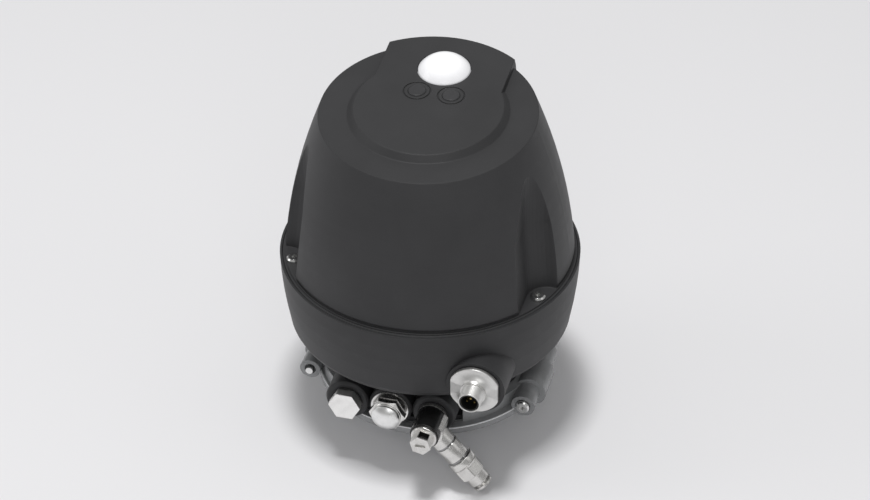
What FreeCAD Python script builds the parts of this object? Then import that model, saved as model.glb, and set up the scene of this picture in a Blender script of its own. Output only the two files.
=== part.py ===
import FreeCAD, Part
import Sketcher
import math
import os
from types import SimpleNamespace

# A domed valve positioner that sits on top of a pneumatic valve actuator.
# Millimetres, +Z up, +Y to the back (the side of the indicator light), -Y to the connectors.
# The origin is the centre of the adapter's face that rests on the actuator.

Vector = FreeCAD.Vector

DIMENSIONS = {
    # Actuator adapter and the sensing pin that follows the valve spindle
    "adapter_hub_radius": 53.0,
    "adapter_thickness": 4.0,
    "adapter_rim_radius": 57.0,
    "adapter_rim_height": 1.8,
    "spigot_radius": 20.0,
    "spigot_height": 2.9,
    "spigot_lip": 0.6,
    "adapter_bolt_circle": 35.0,
    "adapter_bolt_radius": 3.3,
    "adapter_sink_radius": 6.2,
    "pin_radius": 4.0,
    "pin_length": 38.0,
    "pin_drop": 20.0,
    "pin_thread_radius": 2.1,
    "pin_thread_depth": 12.0,
    "pin_clearance": 0.08,
    "pin_stroke": 20.0,
    "magnet_length": 6.0,
    # Clamp ring in two halves, round the necks of the adapter and the housing
    "clamp_radius": 62.5,
    "clamp_shift": 1.5,
    "clamp_plate": 4.0,
    "clamp_wall": 2.2,
    "clamp_height": 12.0,
    "clamp_lip": 1.7,
    "clamp_split": 1.2,
    "clearance": 0.3,
    "face_gap": 0.1,
    "window_left": 42.0,
    "window_right": 31.0,
    "lug_offset": 59.5,
    "lug_height": 6.7,
    "head_lug_radius": 6.4,
    "head_lug_length": 33.0,
    "head_lug_step_radius": 8.6,
    "head_lug_step_length": 20.5,
    "thread_lug_radius": 5.7,
    "thread_lug_length": 31.0,
    "thread_lug_step_radius": 7.4,
    "thread_lug_step_length": 15.5,
    "clamp_screw_radius": 2.0,
    "clamp_screw_head_radius": 3.8,
    "clamp_screw_head_height": 3.2,
    "clamp_screw_head_round": 0.8,
    "hex_key": 2.5,
    "hex_key_depth": 1.8,
    "clamp_screw_sink": 1.2,
    "clamp_screw_overhang": 2.0,
    "thread_recess_radius": 3.15,
    "thread_recess_depth": 4.0,
    # Housing base: a bowl on a neck
    "rim_radius": 80.0,
    "rim_height": 78.0,
    "rim_lip": 1.3,
    "housing_wall": 3.0,
    "base_thickness": 3.0,
    "neck_radius": 53.8,
    "neck_height": 30.0,
    "underside_inset": 13.0,
    "underside_height": 33.0,
    "underside_round": 9.0,
    "flank_bulge": 0.75,
    "seal_ledge": 5.4,
    "seal_ledge_depth": 6.0,
    "seal_section": 0.8,
    "seal_inset": 2.9,
    # Three air ports in a row under the front of the bowl
    "port_pitch": 23.7,
    "port_centre": -5.6,
    "port_height": 16.2,
    "port_inset": 17.3,
    "port_radius": 11.7,
    "port_edge": 1.0,
    "port_thread_radius": 5.7,
    "port_thread_depth": 11.5,
    "fitting_thread_length": 10.0,
    "port_duct_radius": 2.5,
    "thread_clearance": 0.05,
    # Boss of the electrical connector
    "socket_across": 43.5,
    "socket_height": 47.6,
    "socket_inset": 7.0,
    "socket_boss_radius": 15.6,
    "socket_bore_radius": 7.6,
    # Dome cover
    "cover_wall": 2.8,
    "cover_foot": 2.5,
    "cover_step_inset": 1.2,
    "cover_step": 1.0,
    "cover_groove": 1.2,
    "cover_groove_height": 1.8,
    "cover_flare": 0.8,
    "cover_low_height": 3.2,
    "cover_bulge": 4.16,
    "cover_draw_in": 24.4,
    "cover_top_height": 99.0,
    "crown_height": 87.5,
    "crown_shift": 1.2,
    "crown_tilt": 4.8,
    "plateau_height": 3.4,
    "plateau_radius": 39.1,
    "plateau_draft": 43.0,
    "band_draft": 8.0,
    "band_half_width": 34.0,
    "band_radius": 57.4,
    "band_height": 95.6,
    "band_root_radius": 63.16,
    "band_root_height": 71.0,
    "band_start": 20.0,
    # Recesses that reach the cover screws
    "cover_screw_inset": 7.0,
    "cover_screw_angle": 65.1,
    "recess_across": 60.1,
    "recess_top_across": 57.0,
    "recess_back": 20.1,
    "recess_top_back": 17.4,
    "recess_corner": 11.0,
    "recess_top": 74.0,
    "recess_bend": 40.0,
    "recess_bend_across": 56.6,
    "recess_bend_back": 16.9,
    "rear_recess_radius": 9.5,
    "rear_recess_top": 42.0,
    "rear_recess_lean": 9.5,
    "cover_screw_radius": 2.0,
    "cover_screw_head_radius": 4.0,
    "cover_screw_head_height": 2.2,
    "cover_screw_length": 16.0,
    "screw_boss_radius": 4.0,
    "screw_boss_height": 20.0,
    # Indicator light and the two buttons in the crown
    "light_distance": 32.3,
    "light_radius": 13.7,
    "light_gap": 0.5,
    "light_rise": 7.0,
    "light_flange_radius": 16.6,
    "light_flange": 1.6,
    "light_seal": 0.8,
    "light_wall": 2.0,
    "button_spacing": 18.3,
    "button_distance": 11.3,
    "button_radius": 4.6,
    "button_clearance": 0.1,
    "button_rise": 0.5,
    "button_edge": 0.4,
    "button_travel": 1.0,
    "button_flange_radius": 5.6,
    "button_flange": 1.2,
    "groove_inner_radius": 6.6,
    "groove_width": 0.7,
    "groove_depth": 0.5,
    "light_board_radius": 24.0,
    "board_thickness": 1.6,
    "light_board_distance": 22.0,
    "board_post_radius": 2.2,
    "board_post_circle": 21.0,
    "switch_size": 6.0,
    "switch_height": 3.4,
    "plunger_height": 0.4,
    "plunger_radius": 1.7,
    "led_size": 3.0,
    "led_height": 1.2,
    "led_circle": 7.0,
    # Inside the housing
    "tube_flange_radius": 24.5,
    "tube_flange": 2.5,
    "tube_radius": 7.0,
    "tube_bore_radius": 4.6,
    "tube_end_wall": 2.0,
    "tube_end_room": 4.0,
    "main_board_radius": 61.0,
    "main_board_height": 46.0,
    "main_board_hole": 13.0,
    "pillar_radius": 3.0,
    "pillar_circle": 56.0,
    "sensor_board_width": 10.0,
    "block_back": 25.0,
    "block_half_width": 36.4,
    "block_duct_start": 10.0,
    "block_height": 23.0,
    "pilot_width": 15.0,
    "pilot_depth": 13.0,
    "pilot_height": 6.0,
    "pilot_spacing": 24.4,
    "pilot_distance": 34.5,
    "coil_radius": 5.8,
    "coil_height": 9.0,
    # Hexagon plug in the left port
    "plug_flats": 15.2,
    "plug_head": 5.0,
    "plug_seal_radius": 8.4,
    "plug_seal": 1.0,
    # Vent valve in the middle port
    "vent_washer_radius": 10.2,
    "vent_washer": 1.0,
    "vent_seal_radius": 7.8,
    "vent_seal": 2.4,
    "vent_flats": 17.2,
    "vent_hexagon": 4.0,
    "vent_collar_radius": 8.0,
    "vent_collar": 0.8,
    "vent_cap_radius": 7.6,
    "vent_cap_rise": 4.0,
    "vent_cap_skirt": 1.2,
    "vent_bore_radius": 3.0,
    # Electrical connector: a round plug with a twelve millimetre thread
    "socket_flange_radius": 13.7,
    "socket_flats": 25.2,
    "socket_flange": 2.2,
    "socket_barrel_radius": 6.0,
    "socket_barrel": 10.7,
    "insert_recess": 0.5,
    "socket_collar_radius": 6.8,
    "socket_collar": 2.6,
    "socket_shell_bore": 5.3,
    "socket_thread_length": 12.0,
    "socket_seal": 0.6,
    "insert_wall": 0.8,
    "insert_floor": 7.5,
    "insert_length": 20.0,
    "contact_radius": 0.5,
    "contact_circle": 2.8,
    "contact_length": 4.0,
    # Push-in elbow in the right port
    "elbow_collar": 1.6,
    "elbow_seal": 1.0,
    "elbow_seal_radius": 8.4,
    "elbow_sleeve_radius": 7.8,
    "elbow_sleeve_length": 15.8,
    "elbow_axle_radius": 4.8,
    "elbow_axle_clearance": 0.06,
    "elbow_cap_radius": 6.9,
    "elbow_cap": 1.8,
    "elbow_cap_edge": 0.4,
    "nose_flats": 10.0,
    "nose_turn": 46.0,
    "nose_length": 6.6,
    "nose_pocket_width": 5.2,
    "nose_pocket_length": 4.6,
    "nose_pocket_depth": 3.0,
    "nose_slot_radius": 2.9,
    "nose_slot_level": 0.8,
    "nose_slot_depth": 1.0,
    "branch_distance": 9.0,
    "saddle_radius": 9.0,
    "saddle_half_width": 7.8,
    "branch_angle": 49.0,
    "branch_radius": 6.3,
    "branch_first": 13.3,
    "branch_ring": 1.2,
    "branch_ring_waist": 5.7,
    "ring_sink": 0.4,
    "branch_spigot_radius": 4.6,
    "branch_spigot_length": 5.0,
    "branch_second": 23.8,
    "branch_hex_flats": 13.4,
    "push_collar_radius": 7.5,
    "push_collar_length": 4.6,
    "branch_third": 36.6,
    "branch_mouth_radius": 5.8,
    "branch_length": 42.2,
    "branch_bore_radius": 4.1,
    "branch_bore_depth": 19.0,
    "collar_radius": 5.6,
    "collar_lip": 1.4,
    "collar_sleeve_radius": 4.0,
    "collar_sleeve_length": 10.0,
    "collar_travel": 1.5,
    "tube_hole_radius": 3.05,
}


class Size:
    """A length or angle of the sheet, or a formula on such values: its number and its text."""

    def __init__(self, value, text):
        self.value = value
        self.text = text

    @staticmethod
    def of(item):
        """Take a size as it is, and a plain number as a size."""
        return item if isinstance(item, Size) else Size(float(item), repr(float(item)))

    def _join(self, sign, other, value):
        return Size(value, f"({self.text} {sign} {other.text})")

    def __add__(self, other):
        other = Size.of(other)
        return self._join("+", other, self.value + other.value)

    def __radd__(self, other):
        return Size.of(other) + self

    def __sub__(self, other):
        other = Size.of(other)
        return self._join("-", other, self.value - other.value)

    def __rsub__(self, other):
        return Size.of(other) - self

    def __mul__(self, other):
        other = Size.of(other)
        return self._join("*", other, self.value * other.value)

    def __rmul__(self, other):
        return Size.of(other) * self

    def __truediv__(self, other):
        other = Size.of(other)
        return self._join("/", other, self.value / other.value)

    def __neg__(self):
        return Size(-self.value, f"(-1 * {self.text})")


def sine(angle):
    """Sine of an angle in degrees."""
    return Size(math.sin(math.radians(angle.value)), f"sin({angle.text})")


def cosine(angle):
    """Cosine of an angle in degrees."""
    return Size(math.cos(math.radians(angle.value)), f"cos({angle.text})")


def tangent(angle):
    """Tangent of an angle in degrees."""
    return Size(math.tan(math.radians(angle.value)), f"tan({angle.text})")


def root(size):
    """Square root."""
    return Size(math.sqrt(size.value), f"sqrt({size.text})")


def arc_tangent(size):
    """Angle in degrees whose tangent is a size."""
    return Size(math.degrees(math.atan(size.value)), f"atan({size.text})")


def ball_radius(radius, rise):
    """Radius of the ball whose cap has a given edge radius and rise."""
    return (radius * radius / rise + rise) / 2


DOC = FreeCAD.newDocument("valve_positioner")
PIECES = []


def fill_sheet(values):
    """Write the driving dimensions as plain numbers with aliases and return them as sizes."""
    sheet = DOC.addObject("Spreadsheet::Sheet", "sizes")
    named = SimpleNamespace()
    for row, (alias, value) in enumerate(values.items(), start=1):
        sheet.set(f"A{row}", alias.replace("_", " "))
        sheet.set(f"B{row}", str(value))
        sheet.setAlias(f"B{row}", alias)
        setattr(named, alias, Size(value, f"sizes.{alias}"))
    DOC.recompute()
    return named


S = fill_sheet(DIMENSIONS)


def bind(thing, path, size):
    """Bind one property of an object to a size, when the size depends on the sheet."""
    size = Size.of(size)
    if "sizes" in size.text:
        thing.setExpression(path, size.text)


def place(thing, x=0, y=0, z=0, axis=(0, 0, 1), angle=0):
    """Place an object at sizes x, y, z, turned about an axis by an angle in degrees."""
    x, y, z, angle = Size.of(x), Size.of(y), Size.of(z), Size.of(angle)
    turned = FreeCAD.Rotation(Vector(*axis), angle.value)
    thing.Placement = FreeCAD.Placement(Vector(x.value, y.value, z.value), turned)
    for letter, size in zip("xyz", (x, y, z)):
        bind(thing, f".Placement.Base.{letter}", size)
    bind(thing, ".Placement.Rotation.Angle", angle)
    return thing


def piece(thing, label):
    """Name an object as a finished piece of the product."""
    thing.Label = label
    PIECES.append(thing)
    return thing


def new_body(name):
    """Start a body for one piece, which may hold several separate solids."""
    body = DOC.addObject("PartDesign::Body", name)
    body.AllowCompound = True
    return body


def origin_feature(body, role):
    """Find a body's own origin plane or axis by its role."""
    return next(item for item in body.Origin.OriginFeatures if item.Role == role)


def new_sketch(body, name, role="XY_Plane", offset=0):
    """Add a sketch to a body on one of its origin planes, moved along the plane's normal."""
    sketch = body.newObject("Sketcher::SketchObject", name)
    sketch.AttachmentSupport = [(origin_feature(body, role), "")]
    sketch.MapMode = "FlatFace"
    offset = Size.of(offset)
    sketch.AttachmentOffset = FreeCAD.Placement(Vector(0, 0, offset.value), FreeCAD.Rotation())
    bind(sketch, ".AttachmentOffset.Base.z", offset)
    return sketch


def pin_point(sketch, vertex, x, y):
    """Hold a sketch vertex at sizes x and y from the sketch's origin."""
    for kind, axis, size in (("DistanceX", -2, Size.of(x)), ("DistanceY", -1, Size.of(y))):
        if abs(size.value) < 1e-9:
            sketch.addConstraint(Sketcher.Constraint("PointOnObject", *vertex, axis))
            continue
        ahead = size.value > 0
        ends = (-1, 1, *vertex) if ahead else (*vertex, -1, 1)
        index = sketch.addConstraint(Sketcher.Constraint(kind, *ends, abs(size.value)))
        bind(sketch, f"Constraints[{index}]", size if ahead else -size)


def draw_outline(sketch, corners):
    """Draw a closed outline. A corner is (x, y), or (x, y, radius) where an arc leads to the next
    corner: a positive radius turns left, a negative one turns right."""
    spots = [Vector(Size.of(c[0]).value, Size.of(c[1]).value, 0) for c in corners]
    starts, ends = [], []
    for index, corner in enumerate(corners):
        here, there = spots[index], spots[(index + 1) % len(spots)]
        if len(corner) < 3:
            edge = sketch.addGeometry(Part.LineSegment(here, there), False)
            starts.append((edge, 1))
            ends.append((edge, 2))
            continue
        radius = corner[2]
        bend = abs(radius.value)
        leftwards = radius.value > 0
        along = (there - here).normalize()
        left = Vector(-along.y, along.x, 0) * (1 if leftwards else -1)
        reach = math.sqrt(max(bend ** 2 - ((there - here).Length / 2) ** 2, 0))
        centre = (here + there) * 0.5 + left * reach
        first, last = (here, there) if leftwards else (there, here)
        begin, finish = (math.atan2(p.y - centre.y, p.x - centre.x) for p in (first, last))
        if finish < begin:
            finish += 2 * math.pi
        circle = Part.Circle(centre, Vector(0, 0, 1), bend)
        edge = sketch.addGeometry(Part.ArcOfCircle(circle, begin, finish), False)
        starts.append((edge, 1 if leftwards else 2))
        ends.append((edge, 2 if leftwards else 1))
        index = sketch.addConstraint(Sketcher.Constraint("Radius", edge, bend))
        bind(sketch, f"Constraints[{index}]", radius if leftwards else -radius)
    for index, corner in enumerate(corners):
        sketch.addConstraint(Sketcher.Constraint("Coincident", *ends[index - 1], *starts[index]))
        pin_point(sketch, starts[index], corner[0], corner[1])


def draw_circle(sketch, x, y, radius):
    """Draw a circle at sizes x, y."""
    x, y, radius = Size.of(x), Size.of(y), Size.of(radius)
    circle = Part.Circle(Vector(x.value, y.value, 0), Vector(0, 0, 1), radius.value)
    edge = sketch.addGeometry(circle, False)
    if abs(x.value) < 1e-9 and abs(y.value) < 1e-9:
        sketch.addConstraint(Sketcher.Constraint("Coincident", edge, 3, -1, 1))
    else:
        pin_point(sketch, (edge, 3), x, y)
    index = sketch.addConstraint(Sketcher.Constraint("Radius", edge, radius.value))
    bind(sketch, f"Constraints[{index}]", radius)


def rectangle(left, bottom, right, top):
    """Corners of an upright rectangle."""
    return [(left, bottom), (right, bottom), (right, top), (left, top)]


def hexagon(flats):
    """Corners of a hexagon by its width across flats, with two corners on the X axis."""
    corner = flats / root(Size.of(3))
    half = corner / 2
    side = flats / 2
    return [(corner, 0), (half, side), (-half, side), (-corner, 0), (-half, -side), (half, -side)]


def turned(corners, angle):
    """Corners turned about the sketch's origin by an angle in degrees."""
    return [(x * cosine(angle) - y * sine(angle), x * sine(angle) + y * cosine(angle))
            for x, y in corners]


def bowed(start, end, bulge, steps):
    """Section from one corner to another in straight steps that bulge outwards, most at half way:
    the bulge there is the given size, and it falls off with the square of the way from the middle."""
    corners = []
    for step in range(steps + 1):
        share = step / steps
        across = start[0] + (end[0] - start[0]) * share + bulge * (4 * share * (1 - share))
        corners.append((across, start[1] + (end[1] - start[1]) * share))
    return corners


def arc_steps(across, along, radius, first, last, steps):
    """Corners of an arc about a centre, from one angle in degrees to another, in straight steps."""
    angles = [Size.of(first + (last - first) * step / steps) for step in range(steps + 1)]
    return [(across + radius * cosine(angle), along + radius * sine(angle)) for angle in angles]


def ball_cap(radius, low, rise, steps):
    """Section of a shallow ball cap, from its edge up to its top, in straight steps."""
    ball = ball_radius(radius, rise)
    opening = arc_tangent(rise / radius) * 2
    centre = low + rise - ball
    angles = [opening * ((steps - step) / steps) for step in range(steps)]
    edge = [(ball * sine(angle), centre + ball * cosine(angle)) for angle in angles]
    return edge + [(0, low + rise)]


def turn(body, name, corners, cut=False):
    """Revolve a half section (radius, height) about the body's own Z axis, to add or to cut."""
    sketch = new_sketch(body, f"{name}_section", "XZ_Plane")
    draw_outline(sketch, corners)
    kind = "PartDesign::Groove" if cut else "PartDesign::Revolution"
    feature = body.newObject(kind, name)
    feature.Profile = sketch
    feature.ReferenceAxis = (sketch, ["V_Axis"])
    feature.Angle = 360
    return feature


def push(body, name, sketch, length, cut=False, upwards=True, taper=None):
    """Pad or pocket a sketch by a length, upwards along its normal or the other way."""
    kind = "PartDesign::Pocket" if cut else "PartDesign::Pad"
    feature = body.newObject(kind, name)
    feature.Profile = sketch
    feature.Length = Size.of(length).value
    bind(feature, "Length", length)
    feature.Reversed = upwards if cut else not upwards
    if taper is not None:
        feature.TaperAngle = taper.value
        bind(feature, "TaperAngle", taper)
    return feature


def pad_outline(body, name, corners, start, end, role="XY_Plane", cut=False):
    """Pad or pocket a closed outline from one level to another along the plane's normal."""
    sketch = new_sketch(body, f"{name}_outline", role, start)
    draw_outline(sketch, corners)
    return push(body, name, sketch, Size.of(end) - start, cut=cut)


def pad_circles(body, name, circles, start, end, role="XY_Plane", cut=False):
    """Pad or pocket one or more circles (x, y, radius) from one level to another."""
    sketch = new_sketch(body, f"{name}_circles", role, start)
    for circle in circles:
        draw_circle(sketch, *circle)
    return push(body, name, sketch, Size.of(end) - start, cut=cut)


def trim_round(body, name, radius, start, end, role="XY_Plane"):
    """Cut away what stands outside a radius between two levels."""
    pad_circles(body, name, [(0, 0, radius), (0, 0, radius * 3)], start, end, role, cut=True)


def loft(body, name, levels, cut=False, role="XY_Plane"):
    """Loft through outlines, given as (level, corners) or (level, circle)."""
    sketches = []
    for number, (level, shape) in enumerate(levels, start=1):
        sketch = new_sketch(body, f"{name}_{number}", role, level)
        if isinstance(shape, list):
            draw_outline(sketch, shape)
        else:
            draw_circle(sketch, *shape)
        sketches.append(sketch)
    kind = "PartDesign::SubtractiveLoft" if cut else "PartDesign::AdditiveLoft"
    feature = body.newObject(kind, name)
    feature.Profile = sketches[0]
    feature.Sections = sketches[1:]
    feature.Ruled = True
    return feature


def edges_where(shape, test):
    """Names of a shape's edges that pass a test."""
    return [f"Edge{i}" for i, edge in enumerate(shape.Edges, start=1) if test(edge)]


def bevel_edges(body, name, test, size):
    """Chamfer the edges of a body's last feature that pass a test."""
    DOC.recompute()
    base = body.Tip
    feature = body.newObject("PartDesign::Chamfer", name)
    feature.Base = (base, edges_where(base.Shape, test))
    feature.Size = size.value
    bind(feature, "Size", size)
    return feature


def primitive(kind, name, sizes, x=0, y=0, z=0):
    """Add a Part primitive with its sizes bound, and place it."""
    thing = DOC.addObject(f"Part::{kind}", name)
    for key, size in sizes.items():
        setattr(thing, key, Size.of(size).value)
        bind(thing, key, size)
    return place(thing, x, y, z)


def box(name, x_low, y_low, z_low, x_size, y_size, z_size):
    """A box by its lowest corner and its sizes."""
    sizes = {"Length": x_size, "Width": y_size, "Height": z_size}
    return primitive("Box", name, sizes, x_low, y_low, z_low)


def combine(kind, name, base, tool):
    """Cut, fuse or intersect two objects."""
    thing = DOC.addObject(f"Part::{kind}", name)
    thing.Base = base
    thing.Tool = tool
    return thing


def fuse_all(name, things):
    """Fuse several objects."""
    thing = DOC.addObject("Part::MultiFuse", name)
    thing.Shapes = things
    return thing


def group(name, things):
    """Keep identical pieces together as separate solids of one node."""
    thing = DOC.addObject("Part::Compound", name)
    thing.Links = things
    return thing


BASE_BOTTOM = S.adapter_thickness + S.face_gap
BASE_TOP = BASE_BOTTOM + S.base_thickness
FOOT_BOTTOM = S.rim_height - S.cover_foot
STEP_TOP = S.rim_height + S.cover_step
FOOT_RADIUS = S.rim_radius - S.rim_lip - S.clearance
STEP_RADIUS = FOOT_RADIUS - S.cover_step_inset
GROOVE_RADIUS = STEP_RADIUS - S.cover_groove
LOW_RADIUS = GROOVE_RADIUS + S.cover_flare
TOP_RADIUS = LOW_RADIUS - S.cover_draw_in
SCREW_CIRCLE = S.rim_radius - S.cover_screw_inset
SEAL_CIRCLE = S.rim_radius - S.seal_inset
PORT_FACE = S.rim_radius - S.port_inset
SOCKET_FACE = S.rim_radius - S.socket_inset
CLAMP_CHANNEL = S.adapter_rim_radius + S.clearance
LIGHT_BOARD_DROP = (S.cover_wall + S.button_flange + S.button_travel + S.plunger_height
                    + S.switch_height + S.face_gap * 2)
PORT_ACROSS = [S.port_centre + S.port_pitch * step for step in (-1, 0, 1)]


def make_adapter():
    """Round plate that is bolted to the actuator, with a rim that the clamp ring grips."""
    body = new_body("adapter_plate")
    turn(body, "plate", [
        (0, 0),
        (S.adapter_hub_radius, 0),
        (S.adapter_hub_radius, S.adapter_rim_height),
        (S.adapter_rim_radius, S.adapter_rim_height),
        (S.adapter_rim_radius, S.adapter_thickness),
        (S.spigot_radius, S.adapter_thickness),
        (S.spigot_radius, S.adapter_thickness + S.spigot_height),
        (0, S.adapter_thickness + S.spigot_height),
    ])
    groove_low = S.adapter_thickness + S.spigot_lip
    groove_high = groove_low + S.seal_section * 2
    groove_floor = S.spigot_radius - S.seal_section * 2 + S.clearance / 2
    turn(body, "seal_groove", [
        (groove_floor, groove_low),
        (S.spigot_radius + 1, groove_low),
        (S.spigot_radius + 1, groove_high),
        (groove_floor, groove_high),
    ], cut=True)
    top = S.adapter_thickness + S.spigot_height
    pad_circles(body, "pin_bore", [(0, 0, S.pin_radius + S.pin_clearance)], 0, top, cut=True)
    sink, bolt = S.adapter_sink_radius, S.adapter_bolt_radius
    middle = S.adapter_bolt_circle
    hole = pad_circles(body, "bolt_hole", [(middle, 0, bolt)], 0, top, cut=True)
    cone = loft(body, "bolt_sink", [
        (S.adapter_thickness - sink + bolt, (middle, 0, bolt)),
        (S.adapter_thickness, (middle, 0, sink)),
    ], cut=True)
    pattern = body.newObject("PartDesign::PolarPattern", "bolt_holes")
    pattern.Originals = [hole, cone]
    pattern.Axis = (origin_feature(body, "Z_Axis"), [""])
    pattern.Angle = 360
    pattern.Occurrences = 4
    body.Tip = pattern
    piece(body, "actuator_adapter")

    inner = groove_floor + S.thread_clearance
    outer = groove_floor + S.seal_section * 2 - S.thread_clearance
    seal = flat_ring("adapter_ring", inner, outer, S.seal_section * 2 - S.thread_clearance)
    piece(place(seal, z=groove_low), "adapter_seal")


def make_pin():
    """Sensing pin that the valve spindle pushes up, with the magnet that the sensor reads."""
    top = S.pin_length - S.pin_drop
    body = new_body("pin")
    turn(body, "rod", [
        (0, -S.pin_drop), (S.pin_radius, -S.pin_drop), (S.pin_radius, top), (0, top),
    ])
    pad_circles(body, "thread", [(0, 0, S.pin_thread_radius)], -S.pin_drop,
                S.pin_thread_depth - S.pin_drop, cut=True)
    piece(body, "sensing_pin")
    magnet = primitive("Cylinder", "magnet", {"Radius": S.pin_radius, "Height": S.magnet_length}, z=top)
    piece(magnet, "pin_magnet")


def make_clamp_half(name, front):
    """One half of the clear clamp ring, modelled as the front half: a flat flange, a wall whose
    channel holds both rims, a lug for the screw's head and a lug for its thread."""
    body = new_body(name)
    outer = CLAMP_CHANNEL + S.clamp_wall
    split = S.clamp_split / 2
    turn(body, "ring_wall", [
        (S.adapter_hub_radius - 2, 0),
        (outer, 0),
        (outer, S.clamp_height),
        (S.adapter_hub_radius - 2, S.clamp_height),
    ])
    pad_circles(body, "flange", [(S.clamp_shift, 0, S.clamp_radius)], 0, S.clamp_plate)
    lugs = [
        ("head_lug", S.lug_offset, S.head_lug_radius, S.head_lug_length),
        ("head_lug_root", S.lug_offset + 1, S.head_lug_step_radius, S.head_lug_step_length),
        ("thread_lug", -S.lug_offset, S.thread_lug_radius, S.thread_lug_length),
        ("thread_lug_root", -S.lug_offset, S.thread_lug_step_radius, S.thread_lug_step_length),
    ]
    for lug, across, radius, length in lugs:
        pad_circles(body, lug, [(across, S.lug_height, radius)], split, length, role="XZ_Plane")
    turn(body, "channel", [
        (0, S.clamp_lip),
        (CLAMP_CHANNEL, S.clamp_lip),
        (CLAMP_CHANNEL, BASE_TOP + S.face_gap),
        (S.neck_radius + S.clearance, BASE_TOP + S.face_gap),
        (S.neck_radius + S.clearance, S.rim_height),
        (0, S.rim_height),
    ], cut=True)
    turn(body, "lower_lip", [
        (0, -S.rim_height), (S.adapter_hub_radius + S.clearance, -S.rim_height),
        (S.adapter_hub_radius + S.clearance, S.clamp_lip), (0, S.clamp_lip),
    ], cut=True)
    side = S.rim_radius
    pad_outline(body, "flat_bottom", rectangle(-side, -side, side, side), -S.clamp_height, 0, cut=True)
    hole = S.clamp_screw_radius + S.thread_clearance
    pad_circles(body, "screw_holes", [(x, S.lug_height, hole) for x in (S.lug_offset, -S.lug_offset)],
                -S.lug_offset, S.lug_offset, role="XZ_Plane", cut=True)
    sink = S.head_lug_length - S.clamp_screw_sink
    head = S.clamp_screw_head_radius + S.clearance
    pad_circles(body, "head_sink", [(S.lug_offset, S.lug_height, head)], sink, side,
                role="XZ_Plane", cut=True)
    pad_circles(body, "thread_recess", [(-S.lug_offset, S.lug_height, S.thread_recess_radius)],
                S.thread_lug_length - S.thread_recess_depth, side, role="XZ_Plane", cut=True)
    pad_outline(body, "split", rectangle(-side, -split, side, side), -S.clamp_height,
                S.rim_height, cut=True)
    if front:
        pad_outline(body, "port_window",
                    rectangle(-S.window_left, -side, S.window_right, -S.adapter_hub_radius / 2),
                    S.clamp_plate, S.rim_height, cut=True)
    return body


def make_clamp():
    """The two halves of the clamp ring, and the screws that draw them together."""
    piece(make_clamp_half("front_ring", front=True), "front_clamp_half")
    rear = make_clamp_half("rear_ring", front=False)
    piece(place(rear, axis=(0, 0, 1), angle=180), "rear_clamp_half")

    seat = S.head_lug_length - S.clamp_screw_sink
    shank = seat + S.thread_lug_length + S.clamp_screw_overhang
    head = S.clamp_screw_head_height
    edge = S.clamp_screw_head_round
    screws = []
    for side, sign in (("right", 1), ("left", -1)):
        screw = new_body(f"clamp_screw_{side}")
        turn(screw, f"{side}_screw", [
            (0, -shank), (S.clamp_screw_radius, -shank), (S.clamp_screw_radius, 0),
            (S.clamp_screw_head_radius, 0), (S.clamp_screw_head_radius, head - edge),
            (S.clamp_screw_head_radius - edge, head), (0, head),
        ])
        pad_outline(screw, f"{side}_socket", hexagon(S.hex_key), head - S.hex_key_depth, head,
                    cut=True)
        place(screw, S.lug_offset * sign, -seat * sign, S.lug_height, (1, 0, 0), 90 * sign)
        screws.append(screw)
    piece(group("clamp_screw_pair", screws), "clamp_screws")


def cover_screw_spots():
    """Where the three cover screws stand: beside the front shell, left and right, and at the back."""
    across = SCREW_CIRCLE * sine(S.cover_screw_angle)
    front = -SCREW_CIRCLE * cosine(S.cover_screw_angle)
    return [(across, front), (-across, front), (Size.of(0), SCREW_CIRCLE)]


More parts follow.
